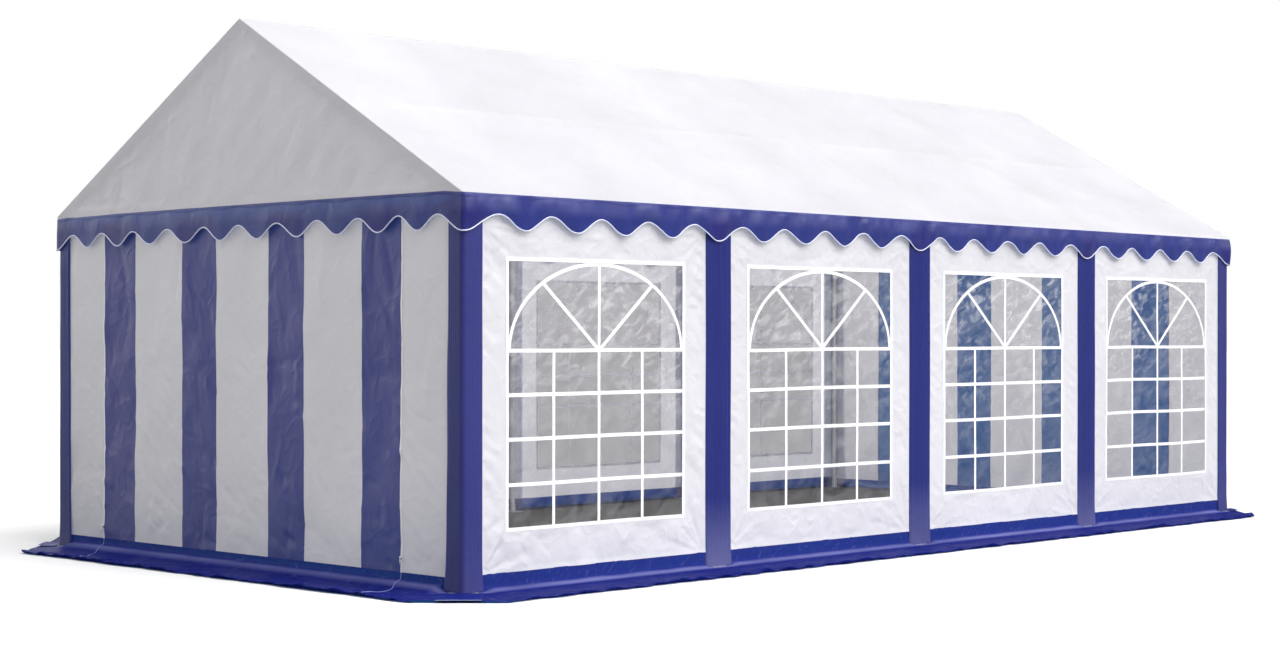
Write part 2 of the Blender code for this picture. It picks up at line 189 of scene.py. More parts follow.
def lobe(tree, way, centre, narrowness, power):
    """Light from one side, strongest from its centre."""
    toward = add_node(tree, "ShaderNodeVectorMath")
    toward.operation = "DOT_PRODUCT"
    toward.inputs[1].default_value = centre
    tree.links.new(way, toward.inputs[0])
    facing = arithmetic(tree, "MAXIMUM", toward.outputs["Value"], value=0.0)
    return arithmetic(tree, "MULTIPLY", arithmetic(tree, "POWER", facing, value=narrowness), value=power)


studio = bpy.data.worlds.new("studio")
studio.use_nodes = True
tree = studio.node_tree
tree.nodes.clear()
way = add_node(tree, "ShaderNodeTexCoord").outputs["Generated"]
patch = lobe(tree, way, patch_from, patch_narrowness, patch_light)
card = lobe(tree, way, card_from, card_narrowness, card_light)
strength = arithmetic(tree, "ADD", arithmetic(tree, "ADD", patch, card), value=all_round_light)
lit = add_node(tree, "ShaderNodeBackground", Color=(1.0, 1.0, 1.0, 1.0))
tree.links.new(strength, lit.inputs["Strength"])
backdrop = add_node(tree, "ShaderNodeBackground", Color=(1.0, 1.0, 1.0, 1.0), Strength=backdrop_white)
dimmed = add_node(tree, "ShaderNodeBackground", Color=(1.0, 0.97, 1.0, 1.0), Strength=backdrop_behind_film)
path = add_node(tree, "ShaderNodeLightPath")
unseen = choice(tree, path.outputs["Is Camera Ray"], lit.outputs[0], dimmed.outputs[0])
surroundings = choice(tree, seen_directly(tree), unseen, backdrop.outputs[0])
output = add_node(tree, "ShaderNodeOutputWorld")
tree.links.new(surroundings, output.inputs[0])
bpy.context.scene.world = studio
bpy.context.scene.view_settings.view_transform = "Standard"


# The frame is round galvanised tube: legs on foot plates, bows with pushed-on elbows and sleeves,
# and long rails through them. Zinc leaves a dull grey skin with a crystal pattern.
def plain_material(name, colour, roughness):
    made = bpy.data.materials.new(name)
    made.use_nodes = True
    shader = made.node_tree.nodes["Principled BSDF"]
    shader.inputs["Base Color"].default_value = (*colour, 1.0)
    shader.inputs["Roughness"].default_value = roughness
    return made


def noise(tree, place, scale, detail, roughness=0.5, distortion=0.0, ridged=False):
    """An uneven pattern, soft or drawn up into ridges."""
    made = add_node(
        tree, "ShaderNodeTexNoise", Scale=scale, Detail=detail, Roughness=roughness, Distortion=distortion
    )
    if ridged:
        made.noise_type = "RIDGED_MULTIFRACTAL"
        made.inputs["Offset"].default_value = 1.0
    tree.links.new(place, made.inputs["Vector"])
    return made.outputs["Fac"]


def mixed(tree, share, first, second):
    """One colour where the share is 0 and another where it is 1. Each is a link or plain numbers."""
    made = add_node(tree, "ShaderNodeMix")
    made.data_type = "RGBA"
    tree.links.new(share, made.inputs[0])
    for socket, colour in ((made.inputs[6], first), (made.inputs[7], second)):
        if isinstance(colour, tuple):
            socket.default_value = (*colour, 1.0)
        else:
            tree.links.new(colour, socket)
    return made.outputs[2]


def bumped(tree, height, strength, distance, normal=None):
    """The surface's slant with a fine relief on it, over an earlier one if there is one."""
    made = add_node(tree, "ShaderNodeBump", Strength=strength, Distance=distance)
    tree.links.new(height, made.inputs["Height"])
    if normal is not None:
        tree.links.new(normal, made.inputs["Normal"])
    return made.outputs["Normal"]


def galvanised_steel():
    made = plain_material("galvanised_steel", (0.62, 0.63, 0.64), 0.4)
    tree = made.node_tree
    shader = tree.nodes["Principled BSDF"]
    shader.inputs["Metallic"].default_value = 0.7
    place = place_on(tree)
    crystals = add_node(tree, "ShaderNodeTexVoronoi", Scale=90.0)
    tree.links.new(place, crystals.inputs["Vector"])
    stains = noise(tree, place, 6.0, 5.0, 0.6)
    tone = rescaled(tree, crystals.outputs["Color"], 0.0, 1.0, 0.58, 0.82)
    tree.links.new(mixed(tree, stains, (0.52, 0.53, 0.54), tone), shader.inputs["Base Color"])
    tree.links.new(rescaled(tree, stains, 0.0, 1.0, 0.3, 0.55), shader.inputs["Roughness"])
    tree.links.new(bumped(tree, crystals.outputs["Distance"], 0.25, 0.0004), shader.inputs["Normal"])
    return made


steel = galvanised_steel()
steel_nodes = ("leg_", "roof_bow_", "eave_rail_", "middle_rail_", "ridge_rail")
for name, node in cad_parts.items():
    if name.startswith(steel_nodes):
        node.data.materials.clear()
        node.data.materials.append(steel)


# The roof is one white coated sheet laid over the bows and rails. It hangs a little slack between
# them, is creased where it bends over the tubes, and carries the marks of having been folded.
yarn_scale = 420.0
crinkle_bands = ((34.0, 0.16), (9.0, 0.32))


def coated_sheet(
    name, colour, through_colour, through_share, roughness=0.42, gloss=0.5, crinkle=1.0, marks=None
):
    """Lacquered sheet over woven yarn: satin, faintly crinkled, and letting some light through. marks
    lays a painted sheen, painted highlights or a paler tint over its colour."""
    made = plain_material(name, colour, roughness)
    tree = made.node_tree
    shader = tree.nodes["Principled BSDF"]
    shader.inputs["Specular IOR Level"].default_value = gloss
    place = place_on(tree)
    spots = noise(tree, place, 1.3, 5.0, 0.62)
    tinted = add_node(tree, "ShaderNodeVectorMath")
    tinted.operation = "SCALE"
    tinted.inputs[0].default_value = colour
    tree.links.new(rescaled(tree, spots, 0.3, 0.7, 0.94, 1.03), tinted.inputs["Scale"])
    surface = tinted.outputs["Vector"]
    if marks:
        surface = marks(tree, place, spots, surface)
    tree.links.new(surface, shader.inputs["Base Color"])
    satin = rescaled(tree, spots, 0.3, 0.7, roughness - 0.07, roughness + 0.08)
    tree.links.new(satin, shader.inputs["Roughness"])
    normal = bumped(tree, noise(tree, place, yarn_scale, 1.0), 0.12, 0.0004)
    for scale, strength in crinkle_bands:
        creases = noise(tree, place, scale, 2.0, 0.5, 0.6, ridged=True)
        normal = bumped(tree, creases, strength * crinkle, 0.036 / scale, normal)
    tree.links.new(normal, shader.inputs["Normal"])
    glow = add_node(tree, "ShaderNodeBsdfTranslucent", Color=(*through_colour, 1.0))
    tree.links.new(normal, glow.inputs["Normal"])
    both = add_node(tree, "ShaderNodeMixShader", Fac=through_share)
    tree.links.new(shader.outputs[0], both.inputs[1])
    tree.links.new(glow.outputs[0], both.inputs[2])
    tree.links.new(both.outputs[0], tree.nodes["Material Output"].inputs["Surface"])
    return made


def put_up(name, shape):
    """Sets a finished mesh or curve up in the scene."""
    made = bpy.data.objects.new(name, shape)
    bpy.context.scene.collection.objects.link(made)
    return made


def smooth_sheet(name, points, faces):
    mesh = bpy.data.meshes.new(name)
    mesh.from_pydata(points, [], faces)
    mesh.shade_smooth()
    return put_up(name, mesh)


def laid_grid(name, across, along, place, keep=None):
    """A sheet woven from two lists of measures. place turns them into points, keep leaves holes."""
    u, v = np.meshgrid(across, along)
    points = np.stack(place(u, v), axis=-1).reshape(-1, 3)
    columns = len(across)
    faces = []
    for row in range(len(along) - 1):
        for column in range(columns - 1):
            if keep and not keep(
                (across[column] + across[column + 1]) / 2, (along[row] + along[row + 1]) / 2
            ):
                continue
            first = row * columns + column
            faces.append((first, first + 1, first + 1 + columns, first + columns))
    used = np.unique(np.array(faces).ravel())
    renumber = {old: new for new, old in enumerate(used.tolist())}
    faces = [tuple(renumber[corner] for corner in face) for face in faces]
    return smooth_sheet(name, points[used].tolist(), faces)


def measures(start, end, step, *stops):
    """Even steps from start to end that also fall exactly on the stops between."""
    marks = sorted({start, end, *[s for s in stops if start < s < end]})
    found = [np.linspace(a, b, max(2, round((b - a) / step) + 1))[:-1] for a, b in zip(marks, marks[1:])]
    return np.concatenate(found + [[end]])


def slack(u, v, seed, longest, height, count=10):
    """The soft unevenness of a hanging sheet: long waves in every direction, laid over each other."""
    draw = np.random.default_rng(seed)
    total = np.zeros_like(u)
    for _ in range(count):
        length = longest * draw.uniform(0.3, 1.0)
        turn = draw.uniform(0.0, 2 * math.pi)
        phase = draw.uniform(0.0, 2 * math.pi)
        run = u * math.cos(turn) + v * math.sin(turn)
        total += np.sin(2 * math.pi * run / length + phase) * length / longest
    return total * height / math.sqrt(count)


def crease_marks(u, v, sheet, seed, count, reach, depth, lean=None, spread=0.45, widths=(0.010, 0.024)):
    """Short creases all over a sheet of (width from, to, height from, to), each fading at its ends."""
    draw = np.random.default_rng(seed)
    total = np.zeros_like(u)
    for _ in range(count):
        middle_u = draw.uniform(sheet[0], sheet[1])
        middle_v = draw.uniform(sheet[2], sheet[3])
        turn = draw.uniform(0.0, math.pi) if lean is None else draw.normal(lean, spread)
        half = reach * draw.uniform(0.35, 1.0)
        width = draw.uniform(*widths)
        rise = depth * draw.uniform(0.3, 1.0) * draw.choice((-1.0, 1.0))
        bend = draw.uniform(-0.15, 0.15) / half
        along = (u - middle_u) * math.cos(turn) + (v - middle_v) * math.sin(turn)
        sideways = (v - middle_v) * math.cos(turn) - (u - middle_u) * math.sin(turn) + bend * along**2
        total += rise * np.exp(-np.sqrt((sideways / width) ** 2 + 0.1) - (along / half) ** 4)
    return total


def fade(distance, over):
    """0 at an edge, rising softly to 1 at that distance from it."""
    share = np.clip(distance / over, 0.0, 1.0)
    return share * share * (3 - 2 * share)


def cover(piece, finish, slot, *nodes):
    """Finishes a piece, lets it stand for its CAD nodes if it has any, and fixes it to the tent."""
    piece.data.materials.append(finish)
    if nodes:
        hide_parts(*nodes)
    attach(piece, "root")
    return piece


white = coated_sheet("white_sheet", (0.93, 0.92, 0.965), (0.95, 0.94, 0.95), 0.38, crinkle=1.4)


def middle_of(node, axis):
    """The middle of a CAD node along X (0) or Y (1)."""
    low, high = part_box(node)
    return (low[axis] + high[axis]) / 2


roof_low, roof_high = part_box("roof_sheet_front")
ridge_height = roof_high.z
roof_half_length = roof_high.x
roof_half_width = -roof_low.y
inner_bow_x = [middle_of(f"roof_bow_{n}", 0) for n in (2, 3, 4)]
end_bow_x = middle_of("leg_front_5", 0)
middle_rail_y = middle_of("middle_rail_back", 1)
eave_rail_y = middle_of("eave_rail_back", 1)
eave_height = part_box("valance_front")[1].z + 0.005
roof_fall = (ridge_height - eave_height) / roof_half_width
roof_sag = 0.022
roof_step = 0.030
ridge_round = 0.006
turned_edge = 0.025
turned_edge_short = 0.03
roof_corner_round = 0.007
roof_side_in = 0.002


def between(value, supports):
    """0 on each support and 1 midway between two of them."""
    total = np.zeros_like(value)
    for start, end in zip(supports, supports[1:]):
        inside = (value >= start) & (value <= end)
        total = np.where(inside, np.sin(math.pi * (value - start) / (end - start)), total)
    return total


def roof_height(x, y):
    """The sheet's height: straight over the tubes, and slack in each field between them."""
    bows = [-end_bow_x, *inner_bow_x, end_bow_x]
    rails = [-eave_rail_y, -middle_rail_y, 0.0, middle_rail_y, eave_rail_y]
    along = np.abs(between(x, bows))
    down = np.abs(between(y, rails))
    hang = roof_sag * (0.75 * np.sqrt(along * down + 1e-9) + 0.25 * along * down)
    calm = fade(roof_half_length - np.abs(x), 0.10) * fade(roof_half_width - np.abs(y), 0.06)
    turned = np.clip(np.abs(y) - roof_half_width, 0, None)
    sheet = (-roof_half_length, roof_half_length, -roof_half_width, roof_half_width)
    uneven = slack(x, y, 3, 1.6, 0.0030) + crease_marks(x, y, sheet, 4, 170, 0.45, 0.0020)
    slope = ridge_height - 0.001 - np.minimum(np.abs(y), roof_half_width) * roof_fall
    return slope - turned - hang + calm * (0.2 + 0.8 * along * down) * uneven


def roof_place(x, y):
    """The sheet ends in a narrow edge that is turned down behind the valance."""
    turned = np.abs(y) > roof_half_width
    rounded = roof_half_length - roof_corner_round * fade(np.abs(y) - roof_half_width + 0.02, 0.02)
    end = np.where(turned, roof_half_length - turned_edge_short, rounded)
    side = roof_half_width - roof_side_in
    return np.clip(x, -end, end), np.clip(y, -side, side), roof_height(x, y)


roof = laid_grid(
    "roof_cover",
    measures(-roof_half_length, roof_half_length, roof_step, *inner_bow_x),
    measures(
        -roof_half_width - turned_edge, roof_half_width + turned_edge, roof_step,
        -roof_half_width, -roof_half_width + 0.006, -middle_rail_y, -ridge_round, 0.0,
        ridge_round, middle_rail_y, roof_half_width - 0.006, roof_half_width,
    ),
    roof_place,
)
cover(roof, white, "white_sheet", "roof_sheet_front", "roof_sheet_back")


# Each gable end is a white triangle welded to the roof's edge, with fine crinkles. A welt covers the
# weld along its two slopes, and the valance's weld keeps its lower edge flat.
# Painted shade: the gable ends' white is a darker copy of the white sheet, for their shaded faces.
white_gable_shaded = coated_sheet(
    "white_sheet_shaded_gable_copy", (0.69, 0.685, 0.715), (0.95, 0.94, 0.95), 0.30, crinkle=0.8
)
gable_peak = ridge_height - 0.004
gable_step = 0.020
gable_puff = 0.012
weld_width = 0.026


def gable_end(name, side, node, seed):
    low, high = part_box(node)
    half, base = high.y, low.z
    face = max(abs(low.x), abs(high.x)) - 0.001
    sheet = (-half, half, base, gable_peak)

    def place(share, rise):
        y = share * half
        top = gable_peak - np.abs(y) * roof_fall
        z = base + rise * (top - base)
        calm = fade(top - z, 0.10) * fade(z - base - weld_width, 0.05)
        puff = gable_puff * np.sin(math.pi * rise) * np.cos(share * math.pi / 2)
        uneven = slack(y, z, seed, 0.55, 0.0050)
        creases = crease_marks(y, z, sheet, seed + 1, 70, 0.26, 0.0058, lean=1.9, spread=0.6)
        crumples = crease_marks(
            y, z, sheet, seed + 2, 200, 0.10, 0.0030, lean=1.6, spread=0.8, widths=(0.013, 0.024)
        )
        x = side * (face + calm * (uneven + creases + crumples - puff))
        return x, y, z

    columns = round(2 * half / gable_step)
    rows = round((gable_peak - base) / gable_step)
    made = laid_grid(name, np.linspace(-1, 1, columns + 1), np.linspace(0, 1, rows + 1), place)
    cover(made, white_gable_shaded, "white_sheet", node)


gable_end("gable_left", -1, "gable_end_left", 11)
gable_end("gable_right", 1, "gable_end_right", 21)


def bead(name, points, radius, finish, slot, closed=False):
    """A round welt or piping along a line of points."""
    curve = bpy.data.curves.new(name, "CURVE")
    curve.dimensions = "3D"
    curve.bevel_depth = radius
    curve.bevel_resolution = 2
    curve.use_fill_caps = not closed
    line = curve.splines.new("POLY")
    line.points.add(len(points) - 1)
    line.points.foreach_set("co", np.column_stack([points, np.ones(len(points))]).ravel())
    line.use_cyclic_u = closed
    cover(put_up(name, curve), finish, slot)


welt_radius = 0.005
welt_step = 0.05
welt_short = 0.016
for name, side in (("left", -1), ("right", 1)):
    across = measures(welt_short - roof_half_width, roof_half_width - welt_short, welt_step, 0.0)
    x = np.full_like(across, side * (roof_half_length - welt_radius))
    line = np.column_stack([x, across, gable_peak - np.abs(across) * roof_fall])
    bead(f"gable_welt_{name}", line, welt_radius, white, "white_sheet")


# The valance is one blue band all round under the eaves, cut in waves and bound with white piping.
# It is welded under the roof's edge and hangs free from there, so it swings out a little.
valance_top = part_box("valance_front")[1].z + 0.0005
# Painted sheen: the band's upper part is painted paler in blotches, standing in for the shine of light from
# above.
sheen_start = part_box("valance_front")[1].z - 0.105
sheen_over = 0.045
sheen_share = 0.17


def painted_sheen_top(tree, place, spots, surface):
    """The upper part of the band painted paler in blotches: a painted sheen of light from above."""
    high = rescaled(tree, along_axis(tree, place, "Z"), sheen_start, sheen_start + sheen_over, 0.0, sheen_share)
    uneven = rescaled(tree, noise(tree, place, 4.5, 1.5), 0.35, 0.65, 0.3, 1.5)
    return mixed(tree, arithmetic(tree, "MULTIPLY", high, uneven), surface, (0.22, 0.22, 0.42))


blue = coated_sheet(
    "blue_sheet", (0.015, 0.015, 0.178), (0.10, 0.42, 1.0), 0.14,
    roughness=0.34, gloss=0.45, crinkle=0.6, marks=painted_sheen_top,
)
scallop_trough = 1.9622
scallop_crest = 2.0473
post_trough_drop = 0.0065
side_crests = [middle + crest for middle in (-3, -1, 1, 3) for crest in (-0.786, -0.394, 0.0, 0.388, 0.779)]
gable_crests = [-1.816, -1.472, -1.124, -0.744, -0.360, -0.006, 0.375, 0.757, 1.127, 1.481, 1.811]
corner_lifts = (0.0076, -0.0059, 0.0, -0.0054, 0.0076)
valance_corner = 0.012
corner_trough_drop = 0.011
valance_step = 0.014
valance_rows = (0.0, 0.05, 0.085, 0.10, 0.16, 0.26, 0.37, 0.48, 0.59, 0.70, 0.80, 0.90, 1.0)
seam_share = 0.092
seam_thickness = 0.0011
gable_freedom = 0.12
blister_height, blister_unevenness, blister_most = 0.0110, 0.0090, 0.019
swing_most = 0.022
hump_across = (-1.99, -1.86, -0.6, 0.6, 1.3, 1.86, 1.99)
hump_height = (0.0, 0.011, 0.012, 0.0115, 0.009, 0.001, 0.0)
piping_radius = 0.0040
piping_white = plain_material("piping_white", (0.74, 0.76, 0.92), 0.35)


def valance_path():
    """Points round the tent: place, way out, and how far up the wave its lower edge is."""
    half_x, half_y, r = roof_half_length - 0.001, roof_half_width - 0.001, valance_corner
    sides = (
        (Vector((-1, -1)), Vector((1, 0)), half_x, side_crests),
        (Vector((1, -1)), Vector((0, 1)), half_y, gable_crests),
        (Vector((1, 1)), Vector((-1, 0)), half_x, side_crests),
        (Vector((-1, 1)), Vector((0, -1)), half_y, gable_crests),
    )
    places, outward, waves = [], [], []
    for corner, ahead, half, crests in sides:
        start = Vector((corner.x * half_x, corner.y * half_y))
        out = Vector((ahead.y, -ahead.x))
        troughs = [(a + b) / 2 for a, b in zip(crests, crests[1:])]
        turns = sorted([-half, half, *crests, *troughs])
        for run in np.linspace(r, 2 * half - r, round((2 * half - 2 * r) / valance_step) + 1):
            passed = np.interp(run - half, turns, range(len(turns)))
            places.append(start + ahead * run)
            outward.append(out)
            waves.append((1 - math.cos(math.pi * passed)) / 2)
        centre = start + ahead * (2 * half - r) - out * r
        for turn in (math.pi / 8, math.pi / 4, 3 * math.pi / 8):
            heading = out * math.cos(turn) + ahead * math.sin(turn)
            places.append(centre + heading * r)
            outward.append(heading)
            waves.append(0.0)
    return np.array(places), np.array(outward), np.array(waves)


ring_place, ring_out, ring_wave = valance_path()
ring_run = np.concatenate([[0.0], np.cumsum(np.linalg.norm(np.diff(ring_place, axis=0), axis=1))])
ring_length = ring_run[-1] + np.linalg.norm(ring_place[0] - ring_place[-1])


def ring_noise(run, seed, longest, height, count=14):
    """Unevenness along the band that joins up where the ring closes."""
    draw = np.random.default_rng(seed)
    total = np.zeros_like(run)
    for _ in range(count):
        turns = draw.integers(round(ring_length / longest), round(4 * ring_length / longest))
        total += np.sin(2 * math.pi * turns * run / ring_length + draw.uniform(0, 2 * math.pi))
    return total * height / math.sqrt(count)


corner_runs = [0.0, 2 * roof_half_length, 2 * (roof_half_length + roof_half_width)]
corner_runs += [corner_runs[-1] + 2 * roof_half_length, ring_length]
band_lift = np.interp(ring_run, corner_runs, corner_lifts)


def band_top():
    """The band's top edge: not quite level, and humped along the gable in front."""
    x, y = ring_place[:, 0], ring_place[:, 1]
    hump = np.interp(y, hump_across, hump_height)
    return valance_top + band_lift + np.where(x < -roof_half_length + 0.01, hump, 0.0)


def band_foot():
    """The band's waved lower edge, a little deeper over each post."""
    x = ring_place[:, 0]
    on_side = np.abs(ring_place[:, 1]) > roof_half_width - 0.01
    posts = sum(np.exp(-(((x - post) / 0.12) ** 2)) for post in (-2.0, 0.0, 2.0)) * on_side
    from_corner = np.hypot(roof_half_length - np.abs(x), roof_half_width - np.abs(ring_place[:, 1]))
    ragged = ring_noise(ring_run, 31, 0.9, 0.0012)
    waved = scallop_trough + (scallop_crest - scallop_trough) * ring_wave
    drop = post_trough_drop * posts + corner_trough_drop * np.exp(-((from_corner / 0.13) ** 2))
    return waved + band_lift - drop + ragged


def valance_points(share):
    """One row of the band, from its top at share 0 to its bound edge at share 1."""
    z = band_top() + share * (band_foot() - band_top())
    seam = seam_thickness if share < seam_share else 0.0
    free = np.where(np.abs(ring_place[:, 0]) > roof_half_length - 0.01, gable_freedom, 1.0)
    swing = (0.4 + 0.6 * free) * ring_noise(ring_run, 32, 1.2, 0.0045)
    swing = swing + free * ring_noise(ring_run, 33, 0.45, 0.0030)
    swing = share**1.3 * (0.005 + swing)
    blister = free * (blister_height + ring_noise(ring_run, 34, 0.75, blister_unevenness)) + 0.002
    blister = np.clip(blister, 0.0, blister_most)
    flute = ring_noise(ring_run + 0.05 * share, 35, 0.40, 0.0016)
    bulge = math.sin(math.pi * share**0.75) * (blister + free * flute)
    away = seam + np.clip(swing + bulge, -0.0004 - 0.0016 * share, swing_most)
    plan = ring_place + ring_out * away[:, None]
    return np.column_stack([plan, z])


def closed_band(name, rows):
    """A ring of sheet from rows of points that each run all the way round."""
    count = len(rows[0])
    faces = []
    for row in range(len(rows) - 1):
        for n in range(count):
            corners = ((row, n), (row + 1, n), (row + 1, n + 1), (row, n + 1))
            faces.append(tuple(line * count + place % count for line, place in corners))
    return smooth_sheet(name, np.concatenate(rows).tolist(), faces)


valance = closed_band("valance", [valance_points(share) for share in valance_rows])
cover(valance, blue, "blue_sheet", "valance_front", "valance_back", "valance_left", "valance_right")
bead("valance_piping", valance_points(1.0), piping_radius, piping_white, "white_sheet", closed=True)


# The long sides have a white panel in each bay, stretched between the posts, with a hole for its
# window. They fan into folds from their corners and pucker where they are laced behind the covers.
bays = (1, 2, 3, 4)
bay_width = 2.0
window_half = 0.702
window_aside = 0.003
film_margin = 0.035
window_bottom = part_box("window_film_front")[0].z + film_margin - 0.007
window_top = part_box("window_film_front")[1].z - film_margin + 0.0035
panel_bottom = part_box("window_wall_front_1")[0].z
wall_out = -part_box("window_wall_front_1")[0].y
panel_face = wall_out - 0.003
panel_step = 0.0115
panel_hem = 0.0034
fan_depth = 0.0030
pucker_depth = 0.0040
laced_edge_rise = 0.0022
panel_furthest_in, panel_furthest_out = -0.012, 0.017
slackness = {1: 1.35, 2: 1.1, 3: 0.9, 4: 0.75}
cover_half = (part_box("post_cover_front_1")[1].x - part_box("post_cover_front_1")[0].x) / 2


def bay_middle(bay):
    return (bay - 2.5) * bay_width


def wander(u, v, seed):
    """How far the sheet is pulled sideways and up or down in its own plane."""
    return slack(u, v, seed, 1.9, 0.0025, 5), slack(u, v, seed + 1, 1.9, 0.0025, 5)


def corner_fan(u, z, corner_u, corner_z, seed, height, reach=0.30):
    """Folds that spread like a fan from a corner by which the sheet is held."""
    draw = np.random.default_rng(seed)
    away = np.hypot(u - corner_u, z - corner_z)
    angle = np.arctan2(z - corner_z, (u - corner_u) * np.sign(-corner_u))
    folds = np.sin(angle * draw.uniform(11, 15) + draw.uniform(0, 2 * math.pi))
    folds += 0.6 * np.sin(angle * draw.uniform(22, 30) + draw.uniform(0, 2 * math.pi))
    return height * folds * fade(away, 0.16) * np.exp(-away / reach)


def window_panel(side_name, side, bay):
    node = f"window_wall_{side_name}_{bay}"
    low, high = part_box(node)
    middle = bay_middle(bay)
    seed = 100 * bay + (50 if side > 0 else 0)
    sheet = (-bay_width / 2, bay_width / 2, low.z, high.z)

    def place(x, z):
        u = x - middle
        aside = u - window_aside
        from_window = np.maximum(np.abs(aside) - window_half, np.maximum(window_bottom - z, z - window_top))
        from_cover = bay_width / 2 - cover_half - np.abs(u)
        calm = fade(from_window - 0.022, 0.04) * fade(from_cover, 0.02)
        uneven = slack(u, z, seed + 2, 0.45, 0.0034, 14)
        creases = crease_marks(u, z, sheet, seed + 3, 120, 0.17, 0.0062, widths=(0.013, 0.030))
        crumples = crease_marks(u, z, sheet, seed + 4, 620, 0.060, 0.0042, widths=(0.009, 0.016))
        held = bay_width / 2 - cover_half + 0.01
        corners = [(end, height) for height in (panel_bottom, scallop_trough + 0.03) for end in (-1, 1)]
        fans = sum(
            corner_fan(u, z, end * held, height, seed + 20 + n, fan_depth)
            for n, (end, height) in enumerate(corners)
        )
        pucker = pucker_depth * np.sin(z * 62 + u * 40 + 2.5 * np.sin(z * 7 + seed))
        pucker = pucker * np.sin(z * 3.1 + seed) ** 2
        pucker = pucker * np.exp(-np.clip(from_cover, 0, None) / 0.06) * fade(from_cover, 0.02)
        laced_edge = laced_edge_rise * np.exp(-np.clip(from_cover, 0, None) / 0.012)
        hem = panel_hem * (1 - fade(z - panel_bottom, 0.024))
        relief = calm * (uneven + creases + crumples + fans) + pucker
        out = slackness[bay] * relief + laced_edge + hem
        shift_u, shift_z = wander(u, z, seed + 5)
        hold = fade(from_cover + 0.02, 0.08) * fade(z - panel_bottom, 0.05)
        out = np.clip(out, panel_furthest_in, panel_furthest_out)
        return x + hold * shift_u, side * (panel_face + out), z + hold * shift_z

    hole = (middle + window_aside - window_half, middle + window_aside + window_half)

    def keep(x, z):
        return not hole[0] < x < hole[1] or not window_bottom < z < window_top

    made = laid_grid(
        f"side_panel_{side_name}_{bay}",
        measures(low.x, high.x, panel_step, *hole),
        measures(low.z, high.z, panel_step, window_bottom, window_top),
        place,
        keep,
    )
    cover(made, white, "white_sheet", node)


# Every window is a sheet of clear soft film welded in behind the panel. White strips are welded on
# for its frame, its four cross bars, its uprights, the arch and the two slanting bars.
def drawn_out(tree, place, turn, scale):
    """The same place in a pattern that is drawn out on the slant."""
    made = add_node(tree, "ShaderNodeMapping", Rotation=(0.0, turn, 0.0), Scale=scale)
    made.vector_type = "TEXTURE"
    tree.links.new(place, made.inputs["Vector"])
    return made.outputs["Vector"]


def window_film_finish():
    """Clear film, a little milky, with painted glints as brighter milky smears, most of all high up, and a
    wet shine.
    """
    made = plain_material("window_film", (0.90, 0.90, 0.92), 0.12)
    tree = made.node_tree
    haze = tree.nodes["Principled BSDF"]
    place = place_on(tree)
    slanted = drawn_out(tree, place, -0.40, (1.0, 1.0, 0.50))
    ripples = noise(tree, slanted, 4.2, 2.0, 0.5, 1.0)
    soft = rescaled(tree, ripples, 0.35, 0.72, 0.02, 0.12)
    # Painted highlights: the bright smears stand in for glints on the film, and are laid on as milky patches.
    sharp = rescaled(tree, noise(tree, slanted, 9.5, 1.5, 0.5, 0.9), 0.46, 0.71, 0.0, 0.31)
    where = rescaled(tree, noise(tree, place, 1.1, 1.0), 0.40, 0.58, 0.45, 1.0)
    upper = rescaled(tree, along_axis(tree, place, "Z"), 0.75, 1.45, 0.15, 1.0)
    painted_glints = arithmetic(tree, "MULTIPLY", arithmetic(tree, "MULTIPLY", sharp, where), upper)
    tree.links.new(bumped(tree, ripples, 0.5, 0.010), haze.inputs["Normal"])
    clear = add_node(tree, "ShaderNodeBsdfTransparent", Color=(0.965, 0.965, 0.975, 1.0))
    finish = choice(tree, arithmetic(tree, "ADD", soft, painted_glints), clear.outputs[0], haze.outputs[0])
    tree.links.new(finish, tree.nodes["Material Output"].inputs["Surface"])
    return made


film = window_film_finish()
bar_white = plain_material("bar_white", (0.97, 0.97, 0.975), 0.30)
film_step = 0.035
film_lap = 0.018
film_face = panel_face - 0.0030
bar_width = 0.0210
frame_width = 0.0215
bars_aside = 0.0035
bar_height = 0.0012
cross_bar_lift, upright_lift, slant_lift, arch_lift = 0.0010, 0.0013, 0.0016, 0.0019
frame_lift, frame_end_lift = 0.0045, 0.0042
arch_foot = 1.310
cross_bars = (1.310, 1.066, 0.822, 0.572)
bars_hang = {1: 0.0, 2: 0.0065, 3: 0.0045, 4: 0.0060}
short_upright = 0.354
slant_reach = 0.440


def film_out(u, z, seed):
    return film_face + slack(u, z, seed + 7, 0.5, 0.0009, 12)


def strip_edges(line, width):
    """The points along both edges of a strip that follows a line of (u, z)."""
    line = np.asarray(line, float)
    ahead = np.gradient(line, axis=0)
    ahead /= np.linalg.norm(ahead, axis=1)[:, None]
    aside = np.column_stack([-ahead[:, 1], ahead[:, 0]])
    return line + aside * width / 2, line - aside * width / 2


def straight(start, end, step=0.04):
    count = max(2, round(math.dist(start, end) / step) + 1)
    return np.linspace(start, end, count)


